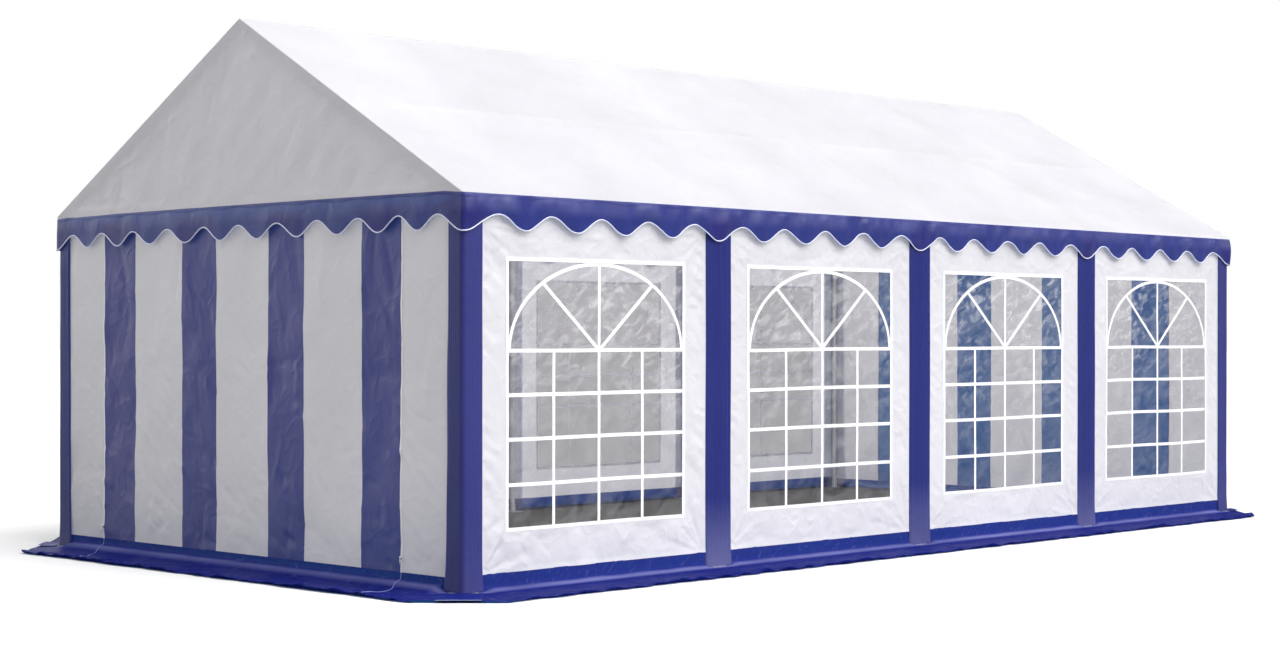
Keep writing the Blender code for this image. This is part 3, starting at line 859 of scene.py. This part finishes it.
def window_strips(hang):
    """Every strip of a window as (line, width, height over the film)."""
    half, low, high, centre = window_half, window_bottom, window_top, bars_aside
    arch_half = half - bar_width / 2
    arch_rise = high - arch_foot - bar_width / 2
    slant_end = arch_foot + arch_rise * math.sqrt(1 - (slant_reach / arch_half) ** 2)
    edge = frame_width / 2 - 0.004
    strips = [(straight((-half, z - hang), (half, z - hang)), bar_width, cross_bar_lift) for z in cross_bars]
    strips.append((straight((centre, low), (centre, high)), bar_width, upright_lift))
    for side in (-1, 1):
        upright = centre + side * short_upright
        strips.append((straight((upright, low), (upright, arch_foot)), bar_width, upright_lift))
        slant = straight((centre, arch_foot), (centre + side * slant_reach, slant_end))
        strips.append((slant, bar_width, slant_lift))
        border = side * (half + edge)
        upright = straight((border, low - edge * 2), (border, high + edge * 2))
        strips.append((upright, frame_width, frame_lift))
    turns = np.linspace(0.0, math.pi, 61)
    arch = np.column_stack([arch_half * np.cos(turns), arch_foot + arch_rise * np.sin(turns)])
    strips.append((arch, bar_width, arch_lift))
    for z in (low - edge, high + edge):
        strips.append((straight((-half - edge * 2, z), (half + edge * 2, z)), frame_width, frame_end_lift))
    return strips


def window(side_name, side, bay):
    middle = bay_middle(bay) + window_aside
    seed = 100 * bay + (50 if side > 0 else 0)

    def film_place(u, z):
        shift_u, shift_z = wander(u + window_aside, z, seed + 5)
        return middle + u + shift_u, side * film_out(u, z, seed), z + shift_z

    half = window_half + film_lap
    made = laid_grid(
        f"window_film_{side_name}_{bay}",
        measures(-half, half, film_step),
        measures(window_bottom - film_lap, window_top + film_lap, film_step),
        film_place,
    )
    cover(made, film, "clear_film")
    points, faces = [], []
    for line, width, lift in window_strips(bars_hang[bay]):
        first = len(points)
        for edge_line in strip_edges(line, width):
            x, y, height = film_place(edge_line[:, 0], edge_line[:, 1])
            points += np.column_stack([x, y + side * lift, height]).tolist()
        count = len(line)
        for n in range(count - 1):
            a, b = first + n, first + count + n
            faces.append((a, a + 1, b + 1, b))
    mesh = bpy.data.meshes.new(f"window_bars_{side_name}_{bay}")
    mesh.from_pydata(points, [], faces)
    bars = put_up(mesh.name, mesh)
    thick = bars.modifiers.new("thickness", "SOLIDIFY")
    thick.thickness = bar_height
    thick.offset = 0.0
    cover(bars, bar_white, "white_sheet")
    return made


for side_name, side in (("front", -1), ("back", 1)):
    for bay in bays:
        window_panel(side_name, side, bay)
    films = [window(side_name, side, bay) for bay in bays]
    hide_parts(f"window_film_{side_name}")


# Each gable wall is sewn from blue and white strips, and hangs from a hem under the valance. It has
# long soft folds from the top and small creases all over. Its white is a darker, shaded copy of the
# sheet, its left blue a greyer shaded copy, and its right blue a lit copy that lets more light through.
# Painted shade: a darker copy of the white sheet, for the gable walls, which stand in shade.
white_shaded = coated_sheet(
    "white_sheet_shaded_copy", (0.80, 0.795, 0.825), (0.95, 0.94, 0.95), 0.30, crinkle=0.8
)
stripe_half = 0.175
stripe_middles = (-1.3065, -0.4355, 0.4355, 1.3065)
gable_wall_step = 0.015
gable_wall_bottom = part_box("gable_white_stripes_right")[0].z
gable_wall_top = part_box("gable_white_stripes_right")[1].z
gable_wall_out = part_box("gable_white_stripes_right")[1].x
gable_face = gable_wall_out - 0.003
gable_wall_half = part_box("gable_white_stripes_right")[1].y
stripe_overlap = 0.0008
gable_sheet = (-gable_wall_half, gable_wall_half, gable_wall_bottom, gable_wall_top)
fold_depth = 0.005
gable_furthest_in, gable_furthest_out = -0.014, 0.017


def gable_relief(y, z, seed):
    """How far the wall stands out of its plane."""
    hold = fade(z - gable_wall_bottom, 0.06) * fade(gable_wall_half - 0.09 - np.abs(y), 0.06)
    long_folds = fold_depth * np.sin(y * 5.1 + 0.6 * np.sin(z * 1.9 + seed) + seed) * fade(z - 0.1, 0.6)
    uneven = slack(y, z, seed, 0.6, 0.0036, 14)
    creases = crease_marks(
        y, z, gable_sheet, seed + 1, 110, 0.26, 0.0062, lean=1.15, spread=0.5, widths=(0.014, 0.030)
    )
    crumples = crease_marks(
        y, z, gable_sheet, seed + 2, 420, 0.095, 0.0080, lean=0.9, spread=0.5, widths=(0.012, 0.022)
    )
    crumples = crumples * (0.35 + 0.65 * fade(1.9 - z, 0.9))
    relief = hold * (long_folds + uneven + creases + crumples)
    return np.clip(relief, gable_furthest_in, gable_furthest_out)


def gable_shift(y, z, seed):
    """How far the wall's seams wander sideways, held straight at its two edges."""
    return slack(y * 0.4, z, seed + 3, 1.1, 0.0022, 6) * fade(gable_wall_half - np.abs(y), 0.3)


def gable_stripes(name, side, seed, edges, finish, slot, node, lift):
    """One colour's strips of a wall, as one piece."""
    stops = sorted({edge for pair in edges for edge in pair})

    def place(y, z):
        return side * (gable_face + lift + gable_relief(y, z, seed)), y + gable_shift(y, z, seed), z

    def keep(y, z):
        return any(a < y < b for a, b in edges)

    made = laid_grid(
        name,
        measures(-gable_wall_half, gable_wall_half, gable_wall_step, *stops),
        measures(gable_wall_bottom, gable_wall_top, gable_wall_step),
        place,
        keep,
    )
    cover(made, finish, slot, node)


blue_edges = [(middle - stripe_half, middle + stripe_half) for middle in stripe_middles]
white_edges = [(-gable_wall_half, blue_edges[0][0])]
white_edges += [(a[1], b[0]) for a, b in zip(blue_edges, blue_edges[1:])]
white_edges += [(blue_edges[-1][1], gable_wall_half)]
# Painted shade: a greyer copy of the blue sheet for the left wall, which stands in shade.
blue_shaded = coated_sheet(
    "blue_sheet_shaded_copy", (0.049, 0.030, 0.186), (0.06, 0.34, 1.0), 0.10, roughness=0.40, crinkle=0.85
)
# A lit copy of the blue sheet for the right wall: it lets more light through, so it shows lighter from
# inside.
blue_lit_through = coated_sheet(
    "blue_sheet_lit_copy", (0.053, 0.036, 0.180), (0.07, 0.38, 0.85), 0.23, roughness=0.40, crinkle=1.0
)
gable_walls = (("left", -1, 61, blue_shaded), ("right", 1, 71, blue_lit_through))
for name, side, seed, striped in gable_walls:
    gable_stripes(
        f"gable_wall_white_{name}", side, seed, white_edges, white_shaded, "white_sheet",
        f"gable_white_stripes_{name}", 0.0,
    )
    gable_stripes(
        f"gable_wall_blue_{name}", side, seed, blue_edges, striped, "blue_sheet",
        f"gable_blue_stripes_{name}", stripe_overlap,
    )


# A zip runs down beside each outer blue strip, so that the wide middle of the wall rolls up as the
# door. It is a pale tape with two rows of teeth, and a metal slider waits near the ground.
zip_y = stripe_middles[-1] + stripe_half
zip_half_width = 0.0065
zip_step = 0.010
teeth_pitch = 0.020
teeth_rise = 0.0012
tape_lift = 0.0008
tape_crown = 0.0022
slider_height = 0.160
slider_lift = 0.0075
slider_bevel = 0.0009
slider_body = ((0.009, 0.013, 0.022), (0.0, 0.0, 0.0))
slider_pull = ((0.002, 0.008, 0.036), (0.005, 0.0, -0.022))
zip_white = plain_material("zip_tape", (0.97, 0.97, 0.98), 0.40)


def zip_tape(name, side, seed, y_middle):
    def place(share, z):
        rib = teeth_rise * (0.5 + 0.5 * np.cos(2 * math.pi * z / teeth_pitch)) * (np.abs(share) < 0.5)
        y = y_middle + share * zip_half_width
        lift = stripe_overlap + tape_lift + tape_crown * (1 - share**2) + rib
        return side * (gable_face + gable_relief(y, z, seed) + lift), y + gable_shift(y, z, seed), z

    along = measures(gable_wall_bottom, gable_wall_top - 0.02, zip_step)
    cover(laid_grid(name, np.linspace(-1, 1, 7), along, place), zip_white, "white_sheet")


def zip_slider(name, side, seed, y_middle):
    """The slider's body, with its pull hanging from it."""
    work = bmesh.new()
    for size, centre in (slider_body, slider_pull):
        block = Matrix.Translation(centre) @ Matrix.Diagonal((*size, 1.0))
        bmesh.ops.create_cube(work, size=1.0, matrix=block)
    bmesh.ops.bevel(work, geom=work.edges[:], offset=slider_bevel, segments=2, affect="EDGES")
    mesh = bpy.data.meshes.new(name)
    work.to_mesh(mesh)
    work.free()
    y, z = np.array([y_middle]), np.array([slider_height])
    out = gable_face + gable_relief(y, z, seed)[0] + slider_lift
    place = Matrix.Translation((side * out, y_middle, slider_height))
    mesh.transform(place @ Matrix.Diagonal((side, 1, 1, 1)))
    if side < 0:
        mesh.flip_normals()
    mesh.shade_smooth()
    cover(put_up(name, mesh), steel, "galvanised_steel")


for name, side, seed, _ in gable_walls:
    for end_name, end in (("low", -1), ("high", 1)):
        zip_tape(f"zip_{name}_{end_name}", side, seed, end * zip_y)
        zip_slider(f"zip_slider_{name}_{end_name}", side, seed, end * zip_y)


# The covers over the posts are blue sleeves of sheet, two soft lobes with a seam between them and
# fine upright pleats. They are paler low down in patches, and widen a little where they end on the skirt.
def paler_low_down(share):
    """A paler tint on the low part of a cover, in patches."""

    def marks(tree, place, spots, surface):
        low = rescaled(tree, along_axis(tree, place, "Z"), 0.06, 0.42, share, 0.0)
        return mixed(tree, arithmetic(tree, "MULTIPLY", low, spots), surface, (0.30, 0.30, 0.52))

    return marks


blue_paler_low = coated_sheet(
    "blue_cover_sheet", (0.010, 0.013, 0.165), (0.10, 0.42, 1.0), 0.10,
    gloss=0.35, crinkle=0.5, marks=paler_low_down(0.55),
)
cover_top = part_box("post_cover_front_1")[1].z
cover_out = 0.0105
cover_shift = {1: 0.017, 2: 0.018, 3: 0.022}
cover_bottom = 0.006
cover_edge_out = 0.002
cover_flare_out = 0.010
cover_flare_wide = 0.006
cover_step = 0.024


def sleeve(name, node, line_of, columns, bottom, seed, finish):
    """A cover from its cross-section: line_of gives the points for a share across and a height."""
    made = laid_grid(
        name,
        np.linspace(-1.0, 1.0, columns),
        measures(bottom, cover_top, cover_step),
        lambda share, z: line_of(share, z, seed),
    )
    cover(made, finish, "blue_sheet", node)


def under_valance(z):
    """A cover's folds are pressed flatter behind the valance."""
    return 1 - 0.7 * fade(z - scallop_trough + 0.15, 0.12)


def post_section(x, side, shift):
    def line_of(share, z, seed):
        flare = np.clip(1 - (z - cover_bottom) / 0.15, 0, 1) ** 2
        lobes = np.sqrt(np.clip(1 - share**6, 0, 1))
        seam = 1 - 0.42 * np.exp(-(((share - 0.04) / 0.09) ** 2))
        gathers = 0.0011 * np.cos(share * math.pi * 7.3 + 0.5 * np.sin(z * 2.1 + seed))
        gathers += 0.0006 * np.cos(share * math.pi * 15.1 + seed)
        uneven = slack(share * 0.12, z, seed, 0.9, 0.0018, 8)
        out = cover_edge_out + (cover_out - cover_edge_out) * lobes * seam
        out += lobes * (under_valance(z) * (gathers + uneven) + flare * cover_flare_out)
        across = share * (cover_half + cover_flare_wide * flare) + 0.0015 * np.sin(z * 4.3 + seed)
        height = z + 0.0015 * np.sin(share * 9 + seed) * flare
        return x + shift + across, side * (wall_out + out - 0.001), height

    return line_of


for side_name, side in (("front", -1), ("back", 1)):
    for number in (1, 2, 3):
        node = f"post_cover_{side_name}_{number}"
        sleeve(
            f"post_sleeve_{side_name}_{number}",
            node,
            post_section(middle_of(node, 0), side, cover_shift[number]),
            columns=61,
            bottom=cover_bottom,
            seed=80 + number + 10 * side,
            finish=blue_paler_low,
        )


# The skirt is a blue strip sewn to the foot of each wall. It comes down as the base band, folds over
# and lies out on the ground, where its hemmed edge is a little wavy. Three of its corners are drawn
# in and the one in front is spread, and the door's zips go on as slits in it.
# Painted highlights: the skirt's fold and thin slanted creases are painted paler where light would catch
# them.
skirt_highlight_strength = 0.66


def painted_fold_highlights(tree, place, spots, surface):
    """Painted highlights along the skirt's fold, in patches, and on thin creases; a faint pale tint on the
    band.
    """
    beyond = past_walls(tree, place, gable_wall_out, wall_out)
    out = arithmetic(tree, "MAXIMUM", *beyond)
    falling = rescaled(tree, out, 0.055, 0.100, 1.0, 0.0)
    fold = arithmetic(tree, "MULTIPLY", rescaled(tree, out, 0.006, 0.040), falling)
    fold = arithmetic(tree, "MULTIPLY", fold, rescaled(tree, spots, 0.35, 0.65, 0.70, 1.2))
    on_gable = rescaled(tree, arithmetic(tree, "SUBTRACT", *beyond), -0.02, 0.02, 1.0, 0.8)
    fold = arithmetic(tree, "MULTIPLY", fold, on_gable)
    slanted = drawn_out(tree, place, -0.7, (0.5, 0.25, 0.14))
    lines = noise(tree, slanted, 3.0, 1.5, 0.5, 0.5, ridged=True)
    highlit = arithmetic(tree, "MAXIMUM", fold, rescaled(tree, lines, 1.20, 1.65, 0.0, 0.70))
    highlit = arithmetic(tree, "MAXIMUM", highlit, rescaled(tree, out, 0.0, 0.012, 0.08, 0.0))
    share = arithmetic(tree, "MULTIPLY", highlit, value=skirt_highlight_strength, clamp=True)
    return mixed(tree, share, surface, (0.22, 0.23, 0.50))


blue_skirt = coated_sheet(
    "blue_skirt_sheet", (0.009, 0.014, 0.178), (0.04, 0.28, 0.95), 0.12,
    roughness=0.50, gloss=0.03, crinkle=0.8, marks=painted_fold_highlights,
)
skirt_reach = -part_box("ground_skirt_front")[0].y - wall_out
spread_cut = 0.390
drawn_in_cut = 0.760
right_end_cut = 0.830
skirt_step = 0.028
skirt_lies = 0.0042
skirt_under = 0.0036
skirt_lowest = 0.0012
skirt_lap = 0.002
skirt_edge_wave = 0.010
skirt_most_lift = 0.032
side_edge_lift = 0.010
gable_edge_lift = 0.015
pressed_half = 0.115
pressed_corner = 0.170
tucked_rows = 2
hem_width = 0.026
hem_rise = 0.0022
gable_fold_rise = 0.018
slit_radius = 0.0018
slit_binding = plain_material("slit_binding", (0.30, 0.34, 0.60), 0.5)
low_slit = ((0.0, -1.482), (0.06, -1.500), (0.175, -1.591), (0.400, -1.685), (skirt_reach, -1.705))
high_slit = ((0.0, 1.482), (0.06, 1.450), (0.440, 1.040), (skirt_reach, 1.020))


def skirt_line(top, rise):
    """From the wall's sheet down, over the fold and out along the ground: (out, height)."""
    line = [(-0.0015, top), (-0.0012, 0.060), (-0.0008, 0.042), (0.000, 0.032), (0.003, 0.0265)]
    line += [(0.010, 0.0235), (0.025, 0.0195), (0.045, 0.0145), (0.065, 0.0095), (0.085, 0.0062)]
    line += [(0.105, 0.0047)]
    line += [(out, skirt_lies) for out in np.linspace(0.13, skirt_reach - hem_width - 0.004, 11)]
    hem_top = skirt_lies + hem_rise
    line += [(skirt_reach - hem_width, hem_top), (skirt_reach - 0.004, hem_top)]
    line += [(skirt_reach, hem_top - 0.0018), (skirt_reach + 0.0006, skirt_under)]
    line += [(skirt_reach - 0.010, skirt_under), (skirt_reach - 0.028, skirt_under)]
    line = np.array(line)
    below_top = np.clip((top - line[:, 1]) / (top - 0.03), 0, 1)
    line[:, 1] += rise * below_top * (1 - fade(line[:, 0] - 0.05, 0.08))
    return line


def corner_beyond(out, cut):
    """How far past the wall's end a skirt reaches at a distance out: the mitre, then the cut."""
    return np.minimum(np.clip(out, 0, None), 2 * skirt_reach - cut - out)


def skirt_surface(along_x, side, wall_half, wall_face, top, seed, rise, edge_lift, pressed):
    """Turns a place on the flat skirt, as run along the wall and row of its line, into a point. The
    covers press its fold flat at each (middle, half width) of pressed."""
    profile = skirt_line(top, rise)
    rows = np.arange(len(profile), dtype=float)
    skirt_sheet = (-wall_half - skirt_reach, wall_half + skirt_reach, 0.0, skirt_reach)
    band_sheet = (-wall_half, wall_half, 0.0, top)

    def surface(run, row):
        out = np.interp(row, rows, profile[:, 0])
        height = np.interp(row, rows, profile[:, 1])
        flattened = sum(np.exp(-(((run - middle) / half) ** 8)) for middle, half in pressed)
        height = height - flattened * (height - skirt_lies) * fade(out + 0.001, 0.004)
        lies = fade(out - 0.05, 0.1)
        at_edge = fade(out - 0.2, skirt_reach - 0.2)
        wave = slack(run, out, seed, 0.8, 0.0022, 12) * lies
        lift = slack(run, out * 0.3, seed + 1, 0.7, 0.006, 10)
        lift = lift + slack(run, out * 0.1, seed + 8, 0.22, 0.010, 12)
        lift = np.clip(edge_lift + lift, 0.001, skirt_most_lift) * at_edge
        ripple = skirt_edge_wave * np.sin(run * 9.7 + 1.3 * np.sin(run * 3.1 + seed)) * at_edge
        ripple += slack(run, out * 0.1, seed + 7, 0.26, 1.3 * skirt_edge_wave, 12) * at_edge
        creases = np.abs(crease_marks(run, out, skirt_sheet, seed + 2, 160, 0.16, 0.0030, lean=1.2)) * lies
        upright = (1 - fade(out - 0.002, 0.02)) * fade(top - height, 0.02)
        bulge = slack(run, height * 3, seed + 3, 0.5, 0.0012, 10) + 0.0010
        bulge += crease_marks(run, height, band_sheet, seed + 4, 110, 0.07, 0.0030, lean=1.0, spread=0.3)
        folded = fade(out, 0.012) * (1 - fade(out - 0.045, 0.03)) * slack(run, out, seed + 6, 0.35, 0.0018, 8)
        away = wall_face + out + ripple * 0.6 - 0.004 * at_edge + np.clip(upright * bulge, -0.0005, 0.006)
        z = height + np.abs(wave) + lift + creases + folded * (1 - flattened)
        z = np.clip(z, skirt_lowest, None)
        tucked = np.clip((row - len(profile) + 1 + tucked_rows) / tucked_rows, 0, 1)
        z = z + (skirt_lowest - z) * tucked
        if along_x:
            return run, side * away, z
        return side * away, run, z

    return surface, profile


def ground_skirt(name, surface, profile, wall_half, cuts, *nodes):
    rows = np.arange(len(profile), dtype=float)

    def place(share, row):
        out = np.interp(row, rows, profile[:, 0])
        return surface(share * (wall_half + corner_beyond(out, np.where(share < 0, *cuts))), row)

    count = round(2 * (wall_half + skirt_reach) / skirt_step)
    made = laid_grid(name, np.linspace(-1, 1, count + 1), rows, place)
    cover(made, blue_skirt, "blue_sheet", *nodes)


def skirt_slit(name, surface, profile, route):
    """The bound edge of a slit: route says how far along the wall it lies at each distance out."""
    rows = np.linspace(0.0, len(profile) - 2.0 - tucked_rows, 60)
    out = np.interp(rows, np.arange(len(profile)), profile[:, 0])
    run = np.interp(out, [point[0] for point in route], [point[1] for point in route])
    x, y, z = surface(run, rows)
    bead(name, np.column_stack([x, y, z + slit_radius * 0.5]), slit_radius, slit_binding, "blue_sheet")


def cut_at(side_x, side_y):
    return {(-1, -1): spread_cut, (1, -1): right_end_cut}.get((side_x, side_y), drawn_in_cut)


for name, side, seed in (("front", -1, 401), ("back", 1, 411)):
    pressed = [((number - 2) * bay_width + cover_shift[number], pressed_half) for number in (1, 2, 3)]
    pressed += [(end * gable_wall_out, pressed_corner) for end in (-1, 1)]
    surface, profile = skirt_surface(
        along_x=True, side=side, wall_half=gable_wall_out, wall_face=wall_out,
        top=panel_bottom + skirt_lap, seed=seed, rise=0.0, edge_lift=side_edge_lift, pressed=pressed,
    )
    cuts = (cut_at(-1, side), cut_at(1, side))
    ground_skirt(
        f"skirt_{name}", surface, profile, gable_wall_out, cuts, f"ground_skirt_{name}", f"base_band_{name}"
    )
for name, side, seed in (("left", -1, 421), ("right", 1, 431)):
    pressed = [(end * (wall_out + 0.005), pressed_corner) for end in (-1, 1)]
    surface, profile = skirt_surface(
        along_x=False, side=side, wall_half=wall_out, wall_face=gable_wall_out,
        top=gable_wall_bottom + skirt_lap, seed=seed, rise=gable_fold_rise, edge_lift=gable_edge_lift,
        pressed=pressed,
    )
    cuts = (cut_at(side, -1), cut_at(side, 1))
    ground_skirt(f"skirt_{name}", surface, profile, wall_out, cuts, f"ground_skirt_{name}")
    skirt_slit(f"skirt_slit_{name}_low", surface, profile, low_slit)
    skirt_slit(f"skirt_slit_{name}_high", surface, profile, high_slit)


# The corner covers are the same sheet wrapped round the corner posts and finely pleated. Each ends
# in a square flap that lies on the ground over the joint of two skirts.
blue_corner = coated_sheet(
    "blue_corner_sheet", (0.030, 0.032, 0.190), (0.10, 0.42, 1.0), 0.10,
    gloss=0.35, crinkle=0.5, marks=paler_low_down(0.12),
)
blue_flap = coated_sheet(
    "blue_flap_sheet", (0.009, 0.018, 0.200), (0.03, 0.24, 1.0), 0.05, roughness=0.45, gloss=0.05, crinkle=0.8
)
corner_on_side = 0.136
corner_on_gable = 0.120
corner_round = 0.030
corner_bottom = 0.009
corner_tuck = 0.012
corner_flare_out = 0.008
pleat_width = 0.0155
pleat_depth = 0.0009
flap_half = 0.1225
flap_root = 0.01
flap_lies = 0.0090
flap_curl = 0.006
flap_step = 0.02
flap_hem = 0.0020


def corner_section(side_x, side_y):
    """The line round a corner: along one wall, round the corner and along the other."""
    on_side = corner_on_side + cover_out - corner_round
    on_gable = corner_on_gable + cover_out - corner_round
    arc = math.pi / 2 * corner_round

    def line_of(share, z, seed):
        spread = np.clip(1 - (z - corner_bottom) / 0.40, 0, 1) ** 2
        fuller = 0.006 * fade(1.6 - z, 0.4) + 0.007 * fade(0.75 - z, 0.35) + 0.012 * spread
        flat = np.where(share > 0, on_side + 0.004 * spread, on_gable + fuller)
        run = share * (flat + arc / 2)
        beyond = np.clip(np.abs(run) - arc / 2, 0, None)
        turn = np.clip(run / arc, -0.5, 0.5) * math.pi / 2 + math.pi / 4
        out_x, out_y = np.cos(turn), np.sin(turn)
        centre = cover_out - corner_round
        x = centre + corner_round * out_x - np.where(run > 0, beyond, 0)
        y = centre + corner_round * out_y - np.where(run < 0, beyond, 0)
        tuck = np.clip((beyond - flat + corner_tuck) / corner_tuck, 0, 1) ** 2 * (cover_out - cover_edge_out)
        flare = np.clip(1 - (z - corner_bottom) / 0.16, 0, 1) ** 2
        pleats = pleat_depth * np.cos(run * 2 * math.pi / pleat_width) * (1 - np.exp(-((run / 0.03) ** 2)))
        uneven = slack(run, z, seed, 0.8, 0.0013, 8)
        out = under_valance(z) * (pleats + uneven) - tuck + flare * corner_flare_out
        x, y = x + out_x * out, y + out_y * out
        return side_x * (gable_wall_out + x), side_y * (wall_out + y), z

    return line_of, on_side + on_gable + arc


def corner_flap(name, side_x, side_y, reach, seed):
    """The flap at the foot of a corner cover, lying out along the diagonal."""

    def place(across, out):
        uneven = slack(across, out, seed, 0.35, 0.0012, 6)
        z = flap_lies + uneven + flap_curl * fade(out - reach + 0.07, 0.07)
        edge = 0.003 * np.sin(across * 23 + seed) * fade(out - reach + 0.10, 0.10)
        diagonal = (out + edge) / math.sqrt(2)
        sideways = across / math.sqrt(2)
        return side_x * (gable_wall_out + diagonal + sideways), side_y * (wall_out + diagonal - sideways), z

    made = laid_grid(
        name, measures(-flap_half, flap_half, flap_step), measures(flap_root, reach, flap_step), place
    )
    cover(made, blue_flap, "blue_sheet")
    across = np.linspace(-flap_half, flap_half, 14)
    hem = np.column_stack(place(across, np.full_like(across, reach)))
    bead(f"{name}_hem", hem, flap_hem, slit_binding, "blue_sheet")


for side_name, side_y in (("front", -1), ("back", 1)):
    for end_name, side_x in (("left", -1), ("right", 1)):
        seed = 300 + 10 * side_x + side_y
        line_of, width = corner_section(side_x, side_y)
        sleeve(
            f"corner_sleeve_{side_name}_{end_name}",
            f"corner_cover_{side_name}_{end_name}",
            line_of,
            columns=95,
            bottom=corner_bottom,
            seed=seed,
            finish=blue_corner,
        )
        reach = (2 * skirt_reach - cut_at(side_x, side_y)) / math.sqrt(2)
        corner_flap(f"corner_flap_{side_name}_{end_name}", side_x, side_y, reach, seed)
